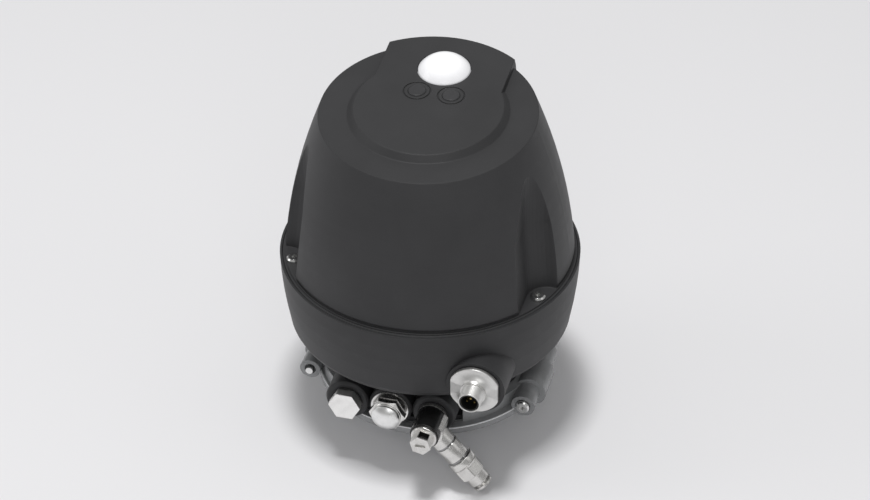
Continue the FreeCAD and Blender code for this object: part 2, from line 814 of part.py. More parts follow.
def make_base():
    """Housing base: a bowl on a neck, with three port barrels and the connector's boss in front."""
    wall = S.housing_wall
    body = new_body("bowl")
    rim_inner = S.rim_radius - S.rim_lip
    underside_radius = S.rim_radius - S.underside_inset
    ledge_radius = S.rim_radius - S.seal_ledge
    shoulder = S.underside_height + S.underside_round
    shoulder_radius = underside_radius + S.underside_round
    turn(body, "bowl_form", [
        (0, BASE_BOTTOM),
        (S.adapter_rim_radius, BASE_BOTTOM),
        (S.adapter_rim_radius, BASE_TOP),
        (S.neck_radius, BASE_TOP),
        (S.neck_radius, S.neck_height),
        *arc_steps(underside_radius, shoulder, S.underside_round, -90, 0, 5),
        *bowed((shoulder_radius, shoulder), (S.rim_radius, S.rim_height), S.flank_bulge, 4)[1:],
        (rim_inner, S.rim_height),
        (rim_inner, FOOT_BOTTOM),
        (0, FOOT_BOTTOM),
    ])
    pad_circles(body, "port_barrels", [(x, S.port_height, S.port_radius) for x in PORT_ACROSS],
                S.neck_radius / 2, PORT_FACE, role="XZ_Plane")
    face = -PORT_FACE.value
    bevel_edges(body, "port_bevels", lambda edge: abs(edge.BoundBox.YMin - face) < 0.01
                and abs(edge.BoundBox.YMax - face) < 0.01, S.port_edge)
    socket_circle = (S.socket_across, S.socket_height, S.socket_boss_radius)
    pad_circles(body, "connector_barrel", [socket_circle], S.neck_radius / 2, SOCKET_FACE,
                role="XZ_Plane")
    turn(body, "cavity", [
        (0, BASE_TOP),
        (S.neck_radius - wall, BASE_TOP),
        (S.neck_radius - wall, S.underside_height + wall),
        *arc_steps(underside_radius, shoulder, S.underside_round - wall, -90, 0, 4),
        *bowed((shoulder_radius - wall, shoulder),
               (ledge_radius, FOOT_BOTTOM - S.seal_ledge_depth), S.flank_bulge, 3)[1:],
        (ledge_radius, S.rim_height + 1),
        (0, S.rim_height + 1),
    ], cut=True)
    spots = cover_screw_spots()
    pad_circles(body, "screw_bosses", [(x, y, S.screw_boss_radius) for x, y in spots],
                FOOT_BOTTOM - S.screw_boss_height, FOOT_BOTTOM)
    hole = S.cover_screw_radius + S.thread_clearance
    pad_circles(body, "screw_holes", [(x, y, hole) for x, y in spots],
                S.rim_height - S.cover_screw_length - 1, S.rim_height, cut=True)
    section = S.seal_section
    turn(body, "rim_seal_groove", [
        (SEAL_CIRCLE - section, FOOT_BOTTOM - section * 2),
        (SEAL_CIRCLE + section, FOOT_BOTTOM - section * 2),
        (SEAL_CIRCLE + section, FOOT_BOTTOM + 1),
        (SEAL_CIRCLE - section, FOOT_BOTTOM + 1),
    ], cut=True)
    pad_circles(body, "spigot_bore", [(0, 0, S.spigot_radius + S.clearance)],
                0, BASE_TOP + 1, cut=True)
    pad_circles(body, "port_threads", [(x, S.port_height, S.port_thread_radius) for x in PORT_ACROSS],
                PORT_FACE - S.port_thread_depth, PORT_FACE + 1, role="XZ_Plane", cut=True)
    pad_circles(body, "port_ducts", [(x, S.port_height, S.port_duct_radius) for x in PORT_ACROSS],
                S.neck_radius / 2, PORT_FACE, role="XZ_Plane", cut=True)
    pad_circles(body, "connector_bore", [(S.socket_across, S.socket_height, S.socket_bore_radius)],
                S.neck_radius / 2, SOCKET_FACE + 1, role="XZ_Plane", cut=True)
    piece(body, "base_bowl")
    reach = section - S.thread_clearance
    seal = flat_ring("rim_ring", SEAL_CIRCLE - reach, SEAL_CIRCLE + reach,
                     section * 2 - S.thread_clearance)
    piece(place(seal, z=FOOT_BOTTOM - section * 2), "cover_seal")


def crown_spot(distance, rise):
    """Height and depth of a point on the crown's middle line, from the crown's centre."""
    tilt = S.crown_tilt
    y = distance * cosine(tilt) - rise * sine(tilt) - S.crown_shift
    z = distance * sine(tilt) + rise * cosine(tilt) + S.rim_height + S.crown_height
    return y, z


def on_crown(thing, distance, x=0, rise=0):
    """Stand a thing on the tilted plateau; rise is measured from the plateau's surface."""
    y, z = crown_spot(Size.of(distance), S.plateau_height + rise)
    return place(thing, x, y, z, (1, 0, 0), S.crown_tilt)


def crown_sketch(body, name, rise):
    """Sketch on the crown's tilted plane, moved up along its normal."""
    sketch = new_sketch(body, name)
    y, z = crown_spot(Size.of(0), Size.of(rise))
    turned = FreeCAD.Rotation(Vector(1, 0, 0), S.crown_tilt.value)
    sketch.AttachmentOffset = FreeCAD.Placement(Vector(0, y.value, z.value), turned)
    bind(sketch, ".AttachmentOffset.Base.y", y)
    bind(sketch, ".AttachmentOffset.Base.z", z)
    bind(sketch, ".AttachmentOffset.Rotation.Angle", S.crown_tilt)
    return sketch


def dome_body(name, wall):
    """The dome's form, drawn in by a wall: a bulging body of revolution, trimmed by the tilted
    crown, with the keyhole plateau of a disc and a band that runs off over the back."""
    body = new_body(name)
    drawn_in = wall.value > 0
    low = S.rim_height + S.cover_low_height
    top = S.rim_height + S.cover_top_height
    if drawn_in:
        foot = [(0, FOOT_BOTTOM), (LOW_RADIUS - wall, FOOT_BOTTOM)]
    else:
        foot = [(0, STEP_TOP), (GROOVE_RADIUS, STEP_TOP),
                (GROOVE_RADIUS, S.rim_height + S.cover_groove_height)]
    flank = bowed((LOW_RADIUS - wall, low), (TOP_RADIUS - wall, top),
                  S.cover_bulge, 6 if drawn_in else 12)
    turn(body, f"{name}_form", [*foot, *flank, (0, top)])
    crown = crown_sketch(body, f"{name}_crown_outline", -wall)
    draw_circle(crown, 0, 0, S.rim_radius)
    push(body, f"{name}_crown", crown, S.crown_height, cut=True)
    level = S.plateau_height - wall
    disc = crown_sketch(body, f"{name}_disc_outline", level)
    draw_circle(disc, 0, 0, S.plateau_radius - wall)
    push(body, f"{name}_disc", disc, S.plateau_height, upwards=False, taper=S.plateau_draft)
    half = S.band_half_width - wall
    band = crown_sketch(body, f"{name}_band_outline", level)
    draw_outline(band, rectangle(-half, S.band_start, half, S.rim_radius))
    push(body, f"{name}_band", band, S.plateau_height, upwards=False, taper=S.band_draft)
    foot_half = half + S.plateau_height * tangent(S.band_draft)
    rib = crown_sketch(body, f"{name}_rib_outline", -wall)
    draw_outline(rib, rectangle(-foot_half, S.band_start * 2, foot_half, S.rim_radius))
    push(body, f"{name}_rib", rib, S.band_height - S.band_root_height, upwards=False)
    root_height = S.rim_height + S.band_root_height
    peak = S.rim_height + S.band_height
    far = S.rim_radius * 2
    turn(body, f"{name}_back", [
        (far, root_height - S.rim_radius), (far, peak + S.band_radius),
        (S.band_radius - wall, peak + S.band_radius), (S.band_radius - wall, peak),
        (S.band_root_radius - wall, root_height),
        (S.rim_radius - wall, root_height - S.rim_radius / 2),
    ], cut=True)
    return body


def corner_recess(name, sign, grow):
    """Tool for one side recess of the cover: a corner with a round root that leans in with height
    up to a bend, and above it lets the dome's surface run out of it. Grown by the wall, it keeps the
    cover's inside clear of the recess."""
    body = new_body(name)
    far = S.rim_radius + S.cover_wall
    corner = S.recess_corner + grow
    steps = 4 if grow.value > 0 else 8

    def outline(across, behind):
        inner, back = across - grow, -behind + grow
        centre, level = inner + corner, back - corner
        if sign > 0:
            return [(inner, -far), (far, -far), (far, back),
                    *arc_steps(centre, level, corner, 90, 180, steps)]
        return [(-far, -far), (-inner, -far), *arc_steps(-centre, level, corner, 0, 90, steps),
                (-far, back)]

    loft(body, f"{name}_walls", [
        (FOOT_BOTTOM - 1 if grow.value > 0 else STEP_TOP, outline(S.recess_across, S.recess_back)),
        (S.rim_height + S.recess_bend, outline(S.recess_bend_across, S.recess_bend_back)),
        (S.rim_height + S.recess_top + grow, outline(S.recess_top_across, S.recess_top_back)),
    ])
    return body


def rear_recess(name, grow):
    """Tool for the recess of the rear cover screw: a round channel that runs out up the dome."""
    body = new_body(name)
    far = S.rim_radius + S.rear_recess_radius * 2
    radius = S.rear_recess_radius + grow
    steps = 8 if grow.value > 0 else 14

    def outline(middle):
        return [*arc_steps(0, middle, radius, 180, 360, steps), (radius, far), (-radius, far)]

    low = FOOT_BOTTOM - 1 if grow.value > 0 else STEP_TOP
    loft(body, f"{name}_walls", [
        (low, outline(SCREW_CIRCLE)),
        (S.rim_height + S.rear_recess_top + grow, outline(SCREW_CIRCLE + S.rear_recess_lean)),
    ])
    return body


def dome_with_recesses(name, wall):
    """The dome's form with the three screw recesses taken out of it."""
    tools = [
        corner_recess(f"{name}_right_recess", 1, wall),
        corner_recess(f"{name}_left_recess", -1, wall),
        rear_recess(f"{name}_rear_recess", wall),
    ]
    return combine("Cut", f"{name}_shaped", dome_body(name, wall),
                   fuse_all(f"{name}_recesses", tools))


def flat_ring(name, inner, outer, height):
    """A flat ring with the given radii, standing on its lower face."""
    disc = primitive("Cylinder", f"{name}_outer", {"Radius": outer, "Height": height})
    hole = primitive("Cylinder", f"{name}_inner", {"Radius": inner, "Height": height})
    return combine("Cut", name, disc, hole)


def make_cover():
    """Moulded dome cover: a shell of even wall that carries the keyhole plateau outside and inside,
    stands on a flange in the bowl's rim, and opens for the light, the buttons and the screws."""
    outer = dome_with_recesses("dome", Size.of(0))
    inner = dome_with_recesses("dome_inside", S.cover_wall)
    foot = new_body("cover_foot")
    turn(foot, "foot_flange", [(0, FOOT_BOTTOM), (FOOT_RADIUS, FOOT_BOTTOM),
                               (FOOT_RADIUS, S.rim_height),
                               (STEP_RADIUS, S.rim_height),
                               (STEP_RADIUS, STEP_TOP), (0, STEP_TOP)])
    shell = combine("Cut", "cover_shell", fuse_all("cover_solid", [foot, outer]), inner)

    depth = S.cover_wall * 3
    light_hole = primitive("Cylinder", "light_hole", {"Radius": S.light_radius + S.light_gap,
                                                      "Height": depth * 2})
    tools = [on_crown(light_hole, S.light_distance, rise=-depth)]
    for side, x in (("left", -S.button_spacing / 2), ("right", S.button_spacing / 2)):
        hole = primitive("Cylinder", f"{side}_button_hole", {
            "Radius": S.button_radius + S.button_clearance, "Height": depth * 2})
        tools.append(on_crown(hole, S.button_distance, x, rise=-depth))
        groove = flat_ring(f"{side}_button_groove", S.groove_inner_radius,
                                S.groove_inner_radius + S.groove_width, S.groove_depth + 1)
        tools.append(on_crown(groove, S.button_distance, x, rise=-S.groove_depth))
    for number, (x, y) in enumerate(cover_screw_spots(), start=1):
        hole = primitive("Cylinder", f"cover_screw_hole_{number}", {
            "Radius": S.cover_screw_radius + S.clearance, "Height": S.cover_foot * 3})
        tools.append(place(hole, x, y, FOOT_BOTTOM - S.cover_foot))
    piece(combine("Cut", "cover", shell, fuse_all("cover_openings", tools)), "dome_cover")

    screws = []
    for number, (x, y) in enumerate(cover_screw_spots(), start=1):
        screw = new_body(f"cover_screw_{number}")
        head = S.cover_screw_head_height
        edge = S.clamp_screw_head_round
        turn(screw, f"cover_screw_form_{number}", [
            (0, -S.cover_screw_length), (S.cover_screw_radius, -S.cover_screw_length),
            (S.cover_screw_radius, 0), (S.cover_screw_head_radius, 0),
            (S.cover_screw_head_radius, head - edge), (S.cover_screw_head_radius - edge, head),
            (0, head),
        ])
        pad_outline(screw, f"cover_screw_socket_{number}", hexagon(S.hex_key),
                    head - S.hex_key_depth, head, cut=True)
        screws.append(place(screw, x, y, STEP_TOP))
    piece(group("cover_screw_set", screws), "cover_screws")


def make_crown_parts():
    """Indicator light, buttons and the small board with their switches under the plateau."""
    under = -S.cover_wall
    lens = new_body("lens")
    lens_bottom = under - S.light_seal - S.light_flange
    inside = S.light_radius - S.light_wall
    turn(lens, "lens_form", [
        (0, lens_bottom), (S.light_flange_radius, lens_bottom),
        (S.light_flange_radius, under - S.light_seal), (S.light_radius, under - S.light_seal),
        *ball_cap(S.light_radius, 0, S.light_rise, 8),
    ])
    turn(lens, "lens_hollow", [
        (0, lens_bottom - 1), (inside, lens_bottom - 1), (inside, 0),
        (0, S.light_rise - S.light_wall),
    ], cut=True)
    piece(on_crown(lens, S.light_distance), "light_lens")
    seal = flat_ring("lens_ring", S.light_radius + S.light_gap, S.light_flange_radius,
                          S.light_seal)
    piece(on_crown(seal, S.light_distance, rise=under - S.light_seal), "light_seal")

    for side, x in (("left", -S.button_spacing / 2), ("right", S.button_spacing / 2)):
        button = new_body(f"{side}_cap")
        flange_top = under - S.face_gap
        turn(button, f"{side}_cap_form", [
            (0, flange_top - S.button_flange), (S.button_flange_radius, flange_top - S.button_flange),
            (S.button_flange_radius, flange_top), (S.button_radius, flange_top),
            (S.button_radius, S.button_rise - S.button_edge),
            (S.button_radius - S.button_edge, S.button_rise),
            (0, S.button_rise),
        ])
        piece(on_crown(button, S.button_distance, x), f"{side}_button")

    board_top = -LIGHT_BOARD_DROP
    board = primitive("Cylinder", "crown_board", {"Radius": S.light_board_radius,
                                                  "Height": S.board_thickness})
    piece(on_crown(board, S.light_board_distance, rise=board_top - S.board_thickness), "light_board")
    switches = []
    for side, x in (("left", -S.button_spacing / 2), ("right", S.button_spacing / 2)):
        switch = new_body(f"{side}_switch")
        half = S.switch_size / 2
        pad_outline(switch, f"{side}_switch_case", rectangle(-half, -half, half, half),
                    0, S.switch_height)
        pad_circles(switch, f"{side}_switch_plunger", [(0, 0, S.plunger_radius)],
                    S.switch_height, S.switch_height + S.plunger_height)
        switches.append(on_crown(switch, S.button_distance, x, rise=board_top))
    piece(group("switch_pair", switches), "button_switches")
    lamps = []
    for number in range(3):
        angle = Size.of(120 * number + 90)
        lamp = primitive("Box", f"lamp_{number + 1}", {"Length": S.led_size, "Width": S.led_size,
                                                      "Height": S.led_height})
        x = S.led_circle * cosine(angle) - S.led_size / 2
        distance = S.light_distance + S.led_circle * sine(angle) - S.led_size / 2
        lamps.append(on_crown(lamp, distance, x, rise=board_top))
    piece(group("lamp_set", lamps), "indicator_lamps")
    posts = []
    for number, angle in enumerate((0, 180, 270), start=1):
        angle = Size.of(angle)
        post = primitive("Cylinder", f"board_post_{number}", {
            "Radius": S.board_post_radius, "Height": LIGHT_BOARD_DROP - S.cover_wall})
        distance = S.light_board_distance + S.board_post_circle * sine(angle)
        posts.append(on_crown(post, distance, S.board_post_circle * cosine(angle), rise=board_top))
    piece(group("crown_posts", posts), "light_board_posts")


def make_interior():
    """Sensor tube over the pin, boards on pillars, and the air block with its two pilot valves."""
    tube = new_body("tube")
    stroke_top = S.pin_length - S.pin_drop + S.magnet_length + S.pin_stroke
    bore_top = stroke_top + S.tube_end_room
    flange_top = BASE_TOP + S.tube_flange
    turn(tube, "tube_form", [
        (S.tube_bore_radius, BASE_TOP), (S.tube_flange_radius, BASE_TOP),
        (S.tube_flange_radius, flange_top), (S.tube_radius, flange_top),
        (S.tube_radius, bore_top + S.tube_end_wall), (0, bore_top + S.tube_end_wall),
        (0, bore_top), (S.tube_bore_radius, bore_top),
    ])
    piece(tube, "sensor_tube")
    board_low = S.main_board_height
    strip = box("strip", S.tube_radius + S.clearance, -S.sensor_board_width / 2, flange_top,
                S.board_thickness, S.sensor_board_width, board_low - S.clearance - flange_top)
    piece(strip, "sensor_board")

    board = new_body("round_board")
    sketch = new_sketch(board, "round_board_outline", offset=board_low)
    draw_circle(sketch, 0, 0, S.main_board_radius)
    draw_circle(sketch, 0, 0, S.main_board_hole)
    push(board, "round_board_pad", sketch, S.board_thickness)
    piece(board, "main_board")
    pillars = new_body("pillars")
    floor = S.underside_height + S.housing_wall
    first = Size.of(45)
    spots = [(S.pillar_circle * cosine(first + 90 * step), S.pillar_circle * sine(first + 90 * step),
              S.pillar_radius) for step in range(4)]
    pad_circles(pillars, "pillar_set", spots, floor, board_low)
    piece(pillars, "board_pillars")

    block = new_body("air_block")
    radius = S.neck_radius - S.housing_wall - S.clearance
    half = S.block_half_width
    reach = -root(radius * radius - half * half)
    pad_outline(block, "block_form", [(-half, reach, radius), (half, reach), (half, -S.block_back),
                                      (-half, -S.block_back)], BASE_TOP, BASE_TOP + S.block_height)
    pad_circles(block, "block_ducts", [(x, S.port_height, S.port_duct_radius) for x in PORT_ACROSS],
                S.block_back + S.block_duct_start, S.neck_radius, role="XZ_Plane", cut=True)
    piece(block, "pneumatic_block")
    top = BASE_TOP + S.block_height
    for name, sign in (("feed", -1), ("exhaust", 1)):
        x = S.pilot_spacing / 2 * sign
        valve = new_body(f"{name}_pilot")
        left, back = x - S.pilot_width / 2, -S.pilot_distance - S.pilot_depth / 2
        pad_outline(valve, f"{name}_pilot_case",
                    rectangle(left, back, left + S.pilot_width, back + S.pilot_depth),
                    top, top + S.pilot_height)
        pad_circles(valve, f"{name}_pilot_coil", [(x, -S.pilot_distance, S.coil_radius)],
                    top + S.pilot_height, top + S.pilot_height + S.coil_height)
        piece(valve, f"{name}_pilot_valve")


def at_port(thing, number, front=0):
    """Point a fitting to the front at one of the three ports, moved out from the port's face."""
    return place(thing, PORT_ACROSS[number], -PORT_FACE - front, S.port_height, (1, 0, 0), 90)


def make_plug():
    """Hexagon plug that closes the left port, on a flat seal."""
    seal = flat_ring("plug_ring", S.port_thread_radius, S.plug_seal_radius, S.plug_seal)
    piece(at_port(seal, 0), "plug_seal")
    plug = new_body("plug")
    top = S.plug_seal + S.plug_head
    shank = S.port_thread_radius - S.thread_clearance
    pad_circles(plug, "plug_thread", [(0, 0, shank)], -S.fitting_thread_length, S.plug_seal)
    pad_outline(plug, "plug_hexagon", hexagon(S.plug_flats), S.plug_seal, top)
    piece(at_port(plug, 0), "hex_plug")


def make_vent():
    """Vent valve in the middle port: a wide washer, a neck seal, a hexagon and a domed cap."""
    washer = flat_ring("vent_plate", S.port_thread_radius, S.vent_washer_radius, S.vent_washer)
    piece(at_port(washer, 1), "vent_washer")
    seal = flat_ring("vent_ring", S.port_thread_radius, S.vent_seal_radius, S.vent_seal)
    piece(at_port(seal, 1, S.vent_washer), "vent_seal")
    low = S.vent_washer + S.vent_seal
    high = low + S.vent_hexagon
    body = new_body("vent")
    shank = S.port_thread_radius - S.thread_clearance
    pad_circles(body, "vent_thread", [(0, 0, shank)], -S.fitting_thread_length, low)
    pad_outline(body, "vent_hexagon", hexagon(S.vent_flats), low, high)
    pad_circles(body, "vent_collar", [(0, 0, S.vent_collar_radius)], high, high + S.vent_collar)
    pad_circles(body, "vent_bore", [(0, 0, S.vent_bore_radius)], -S.fitting_thread_length,
                high + S.vent_collar, cut=True)
    piece(at_port(body, 1), "vent_body")
    base = high + S.vent_collar
    skirt = base + S.vent_cap_skirt
    cap = new_body("vent_dome")
    turn(cap, "vent_dome_form", [
        (0, base), (S.vent_cap_radius, base),
        *ball_cap(S.vent_cap_radius, skirt, S.vent_cap_rise - S.vent_cap_skirt, 6),
    ])
    piece(at_port(cap, 1), "vent_cap")


def at_socket(thing):
    """Point a part of the electrical connector to the front at the connector's boss."""
    return place(thing, S.socket_across, -SOCKET_FACE, S.socket_height, (1, 0, 0), 90)


def make_connector():
    """Electrical connector: a flange with two flats, a threaded barrel, and five contacts."""
    seal = flat_ring("socket_ring", S.socket_bore_radius, S.socket_flange_radius - 1,
                          S.socket_seal)
    piece(at_socket(seal), "socket_seal")
    shell = new_body("socket_shell")
    low = S.socket_seal
    face = low + S.socket_flange
    mouth = face + S.socket_barrel
    shank = S.socket_bore_radius - S.clearance
    turn(shell, "shell_form", [
        (S.socket_shell_bore, -S.socket_thread_length), (shank, -S.socket_thread_length),
        (shank, low), (S.socket_flange_radius, low), (S.socket_flange_radius, face),
        (S.socket_collar_radius, face), (S.socket_collar_radius, face + S.socket_collar),
        (S.socket_barrel_radius, face + S.socket_collar), (S.socket_barrel_radius, mouth),
        (S.socket_shell_bore, mouth),
    ])
    half, far = S.socket_flats / 2, S.socket_flange_radius + 1
    for name, left in (("left_flat", -far), ("right_flat", half)):
        pad_outline(shell, name, rectangle(left, -far, left + far - half, far), low, face, cut=True)
    piece(at_socket(shell), "socket_housing")
    insert = new_body("socket_insert")
    radius = S.socket_shell_bore - S.thread_clearance
    front = mouth - S.insert_recess
    floor = front - S.insert_floor
    turn(insert, "insert_form", [
        (0, front - S.insert_length), (radius, front - S.insert_length), (radius, front),
        (radius - S.insert_wall, front), (radius - S.insert_wall, floor), (0, floor),
    ])
    piece(at_socket(insert), "contact_insert")
    contacts = new_body("contacts")
    spots = [(0, 0, S.contact_radius)]
    for step in range(4):
        angle = Size.of(45 + 90 * step)
        spots.append((S.contact_circle * cosine(angle), S.contact_circle * sine(angle),
                      S.contact_radius))
    pad_circles(contacts, "contact_set", spots, floor, floor + S.contact_length)
    piece(at_socket(contacts), "contact_pins")


def at_branch(thing):
    """Point a part of the elbow's branch away from the elbow's own axis, down to the right."""
    return place(thing, PORT_ACROSS[2], -PORT_FACE - S.branch_distance, S.port_height,
                 (0, 1, 0), S.branch_angle + 90)


def make_elbow():
    """Push-in elbow in the right port: a hollow bolt with a hexagon nose, a sleeve that swivels on
    it, and a branch with a saddle on the sleeve, a socket body and a release collar."""
    seal = flat_ring("elbow_ring", S.port_thread_radius, S.elbow_seal_radius, S.elbow_seal)
    piece(at_port(seal, 2), "elbow_seal")
    low = S.elbow_seal
    sleeve_low = low + S.elbow_collar + S.face_gap
    sleeve_high = sleeve_low + S.elbow_sleeve_length
    cap_low = sleeve_high + S.face_gap
    cap_high = cap_low + S.elbow_cap
    bolt = new_body("hollow_bolt")
    shank = S.port_thread_radius - S.thread_clearance
    axle = S.elbow_axle_radius
    turn(bolt, "bolt_form", [
        (0, -S.fitting_thread_length), (shank, -S.fitting_thread_length), (shank, low),
        (S.elbow_sleeve_radius, low), (S.elbow_sleeve_radius, low + S.elbow_collar),
        (axle, low + S.elbow_collar), (axle, cap_low), (S.elbow_cap_radius, cap_low),
        (S.elbow_cap_radius, cap_high - S.elbow_cap_edge),
        (S.elbow_cap_radius - S.elbow_cap_edge, cap_high), (0, cap_high),
    ])
    branch_level = S.branch_distance
    pad_circles(bolt, "bolt_bore", [(0, 0, S.port_duct_radius)], -S.fitting_thread_length,
                branch_level + S.port_duct_radius, cut=True)
    cross = new_sketch(bolt, "cross_bore_circle", "YZ_Plane", -axle * 2)
    draw_circle(cross, 0, branch_level, S.port_duct_radius)
    push(bolt, "cross_bore", cross, axle * 4, cut=True)
    nose_top = cap_high + S.nose_length
    pad_outline(bolt, "nose", turned(hexagon(S.nose_flats), S.nose_turn), cap_high, nose_top)
    half, flat = S.nose_pocket_width / 2, S.nose_flats / 2
    pocket = rectangle(-half, flat - S.nose_pocket_depth, half, flat + S.nose_pocket_depth)
    pocket_low = cap_high + (S.nose_length - S.nose_pocket_length) / 2
    pad_outline(bolt, "nose_pocket", turned(pocket, S.nose_turn - 60), pocket_low,
                pocket_low + S.nose_pocket_length, cut=True)
    slot, level = S.nose_slot_radius, -S.nose_slot_level
    pad_outline(bolt, "nose_slot", [(slot, level, slot), (0, level + slot, slot), (-slot, level)],
                nose_top - S.nose_slot_depth, nose_top, cut=True)
    piece(at_port(bolt, 2), "elbow_bolt")

    sleeve = new_body("swivel_sleeve")
    inner = axle + S.elbow_axle_clearance
    turn(sleeve, "sleeve_form", [
        (inner, sleeve_low), (S.elbow_sleeve_radius, sleeve_low),
        (S.elbow_sleeve_radius, sleeve_high), (inner, sleeve_high),
    ])
    duct = primitive("Cylinder", "sleeve_duct", {"Radius": S.port_duct_radius,
                                                 "Height": S.elbow_sleeve_radius * 2})
    piece(combine("Cut", "sleeve", at_port(sleeve, 2), at_branch(duct)), "elbow_sleeve")

    branch = new_body("branch")
    width, front = S.saddle_half_width, S.branch_radius
    reach = S.branch_distance - sleeve_low
    pad_outline(branch, "saddle", [(-width, -front), (width, -front), (width, 0),
                                   (-width, reach)], 0, S.saddle_radius)
    trim_round(branch, "saddle_round", S.saddle_radius, -front * 2, front * 2, "XZ_Plane")
    joint = S.branch_first + S.branch_ring
    spigot = S.branch_spigot_radius
    turn(branch, "branch_form", [
        (0, 0), (S.branch_radius, 0), (S.branch_radius, S.branch_first),
        (spigot, S.branch_first), (spigot, joint + S.branch_spigot_length),
        (0, joint + S.branch_spigot_length),
    ])
    pad_circles(branch, "sleeve_seat", [(0, 0, S.elbow_sleeve_radius + S.thread_clearance)],
                -front * 2, front * 2, role="XZ_Plane", cut=True)
    pad_circles(branch, "branch_duct", [(0, 0, S.port_duct_radius)], 0, S.branch_length, cut=True)
    piece(at_branch(branch), "elbow_branch")

    socket = new_body("tube_socket")
    second = S.branch_second
    hexagon_start = second + S.branch_ring
    hexagon_low = hexagon_start + S.push_collar_length
    mouth = S.branch_length
    waist = S.branch_ring_waist
    turn(socket, "tube_socket_form", [
        (0, joint), (S.branch_radius, joint), (S.branch_radius, second), (waist, second),
        (waist, hexagon_start), (S.push_collar_radius, hexagon_start),
        (S.push_collar_radius, hexagon_low), (S.branch_mouth_radius, hexagon_low),
        (S.branch_mouth_radius, mouth), (0, mouth),
    ])
    pad_outline(socket, "tube_socket_hexagon", hexagon(S.branch_hex_flats), hexagon_low,
                S.branch_third)
    trim_round(socket, "hexagon_round", S.push_collar_radius, hexagon_low, S.branch_third)
    turn(socket, "tube_socket_bore", [
        (0, joint - 1), (spigot + S.thread_clearance, joint - 1),
        (spigot + S.thread_clearance, joint + S.branch_spigot_length + S.face_gap),
        (S.tube_hole_radius, joint + S.branch_spigot_length + S.face_gap),
        (S.tube_hole_radius, mouth - S.branch_bore_depth),
        (S.branch_bore_radius, mouth - S.branch_bore_depth), (S.branch_bore_radius, mouth + 1),
        (0, mouth + 1),
    ], cut=True)
    piece(at_branch(socket), "push_in_body")
    first_ring = flat_ring("first_ring", spigot + S.thread_clearance,
                                S.branch_radius - S.ring_sink, S.branch_ring)
    second_ring = flat_ring("second_ring", waist + S.thread_clearance, S.branch_radius,
                                 S.branch_ring)
    place(first_ring, z=S.branch_first)
    place(second_ring, z=second)
    piece(at_branch(group("branch_ring_pair", [first_ring, second_ring])), "branch_rings")

    collar = new_body("collar")
    lip = mouth + S.collar_travel + S.face_gap
    turn(collar, "collar_form", [
        (S.tube_hole_radius, mouth - S.collar_sleeve_length),
        (S.collar_sleeve_radius, mouth - S.collar_sleeve_length),
        (S.collar_sleeve_radius, lip), (S.collar_radius, lip),
        (S.collar_radius, lip + S.collar_lip), (S.tube_hole_radius, lip + S.collar_lip),
    ])
    piece(at_branch(collar), "release_collar")


def check_document():
    """Stop on any failed object and on any piece whose shape is missing or broken."""
    DOC.recompute()
    failed = [item.Name for item in DOC.Objects if {"Invalid", "Error"} & set(item.State)]
    if failed:
        raise RuntimeError(f"failed objects: {failed}")
    for item in PIECES:
        if item.Shape.isNull() or not item.Shape.isValid() or item.Shape.Volume <= 0:
            raise RuntimeError(f"bad shape: {item.Label}")


def export_pieces():
    """Write each finished piece to its own file."""
    os.makedirs("parts", exist_ok=True)
    for item in PIECES:
        item.Shape.exportStep(f"parts/{item.Label}.step")
        box_size = item.Shape.BoundBox
        print(f"{item.Label}: {len(item.Shape.Solids)} solid(s), {item.Shape.Volume:.0f} mm3, "
              f"{box_size.XLength:.1f} x {box_size.YLength:.1f} x {box_size.ZLength:.1f}")


make_adapter()
make_pin()
make_clamp()
make_base()
make_cover()
make_crown_parts()
make_interior()
make_plug()
make_vent()
make_connector()
make_elbow()
check_document()
export_pieces()
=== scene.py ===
"""A domed valve positioner: its looks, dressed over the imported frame.

Metres, +Z up along the spindle, -Y to the air ports and the connector, +Y to the indicator light.
"""

from __future__ import annotations

import logging
import math
from dataclasses import dataclass
from enum import Enum
from typing import Any, Callable, Sequence

import bpy
import numpy as np
from mathutils import Matrix, Vector


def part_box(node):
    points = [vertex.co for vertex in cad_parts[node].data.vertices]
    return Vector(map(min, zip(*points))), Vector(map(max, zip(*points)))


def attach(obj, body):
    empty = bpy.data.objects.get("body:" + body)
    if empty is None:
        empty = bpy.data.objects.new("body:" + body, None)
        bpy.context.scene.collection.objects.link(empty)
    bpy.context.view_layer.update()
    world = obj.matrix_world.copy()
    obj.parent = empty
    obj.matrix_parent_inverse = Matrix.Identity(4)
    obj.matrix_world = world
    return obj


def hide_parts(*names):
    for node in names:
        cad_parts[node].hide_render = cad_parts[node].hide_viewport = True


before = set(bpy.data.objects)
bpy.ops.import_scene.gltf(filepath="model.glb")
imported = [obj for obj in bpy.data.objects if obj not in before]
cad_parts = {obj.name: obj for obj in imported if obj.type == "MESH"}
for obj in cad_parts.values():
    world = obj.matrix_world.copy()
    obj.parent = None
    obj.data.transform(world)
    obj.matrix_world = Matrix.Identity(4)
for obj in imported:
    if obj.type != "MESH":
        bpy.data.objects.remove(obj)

LOG = logging.getLogger("positioner")

Spot = tuple[float, float, float]
Colour = tuple[float, float, float]
Shape = Callable[[np.ndarray, np.ndarray, np.ndarray], np.ndarray]

MM = 0.001
HAIR = 1e-6 * MM  # too short a length to matter when heights are compared
AXIS = 0.02 * MM  # radius of the rows that close a turned piece on its axis
FINE = 144  # steps round a piece that has a thread or a hexagon
UP: Spot = (0.0, 0.0, 1.0)
FRONT: Spot = (0.0, -1.0, 0.0)
PORT_HEIGHT = 16.2 * MM  # the air ports' axes above the origin
PORT_FACE = 62.7 * MM  # the air ports' faces in front of the spindle's axis
DEEP_SHADE: Colour = (0.006, 0.006, 0.006)
CHARCOAL: Colour = (0.0325, 0.0325, 0.034)


# ---------------------------------------------------------------- shader expressions


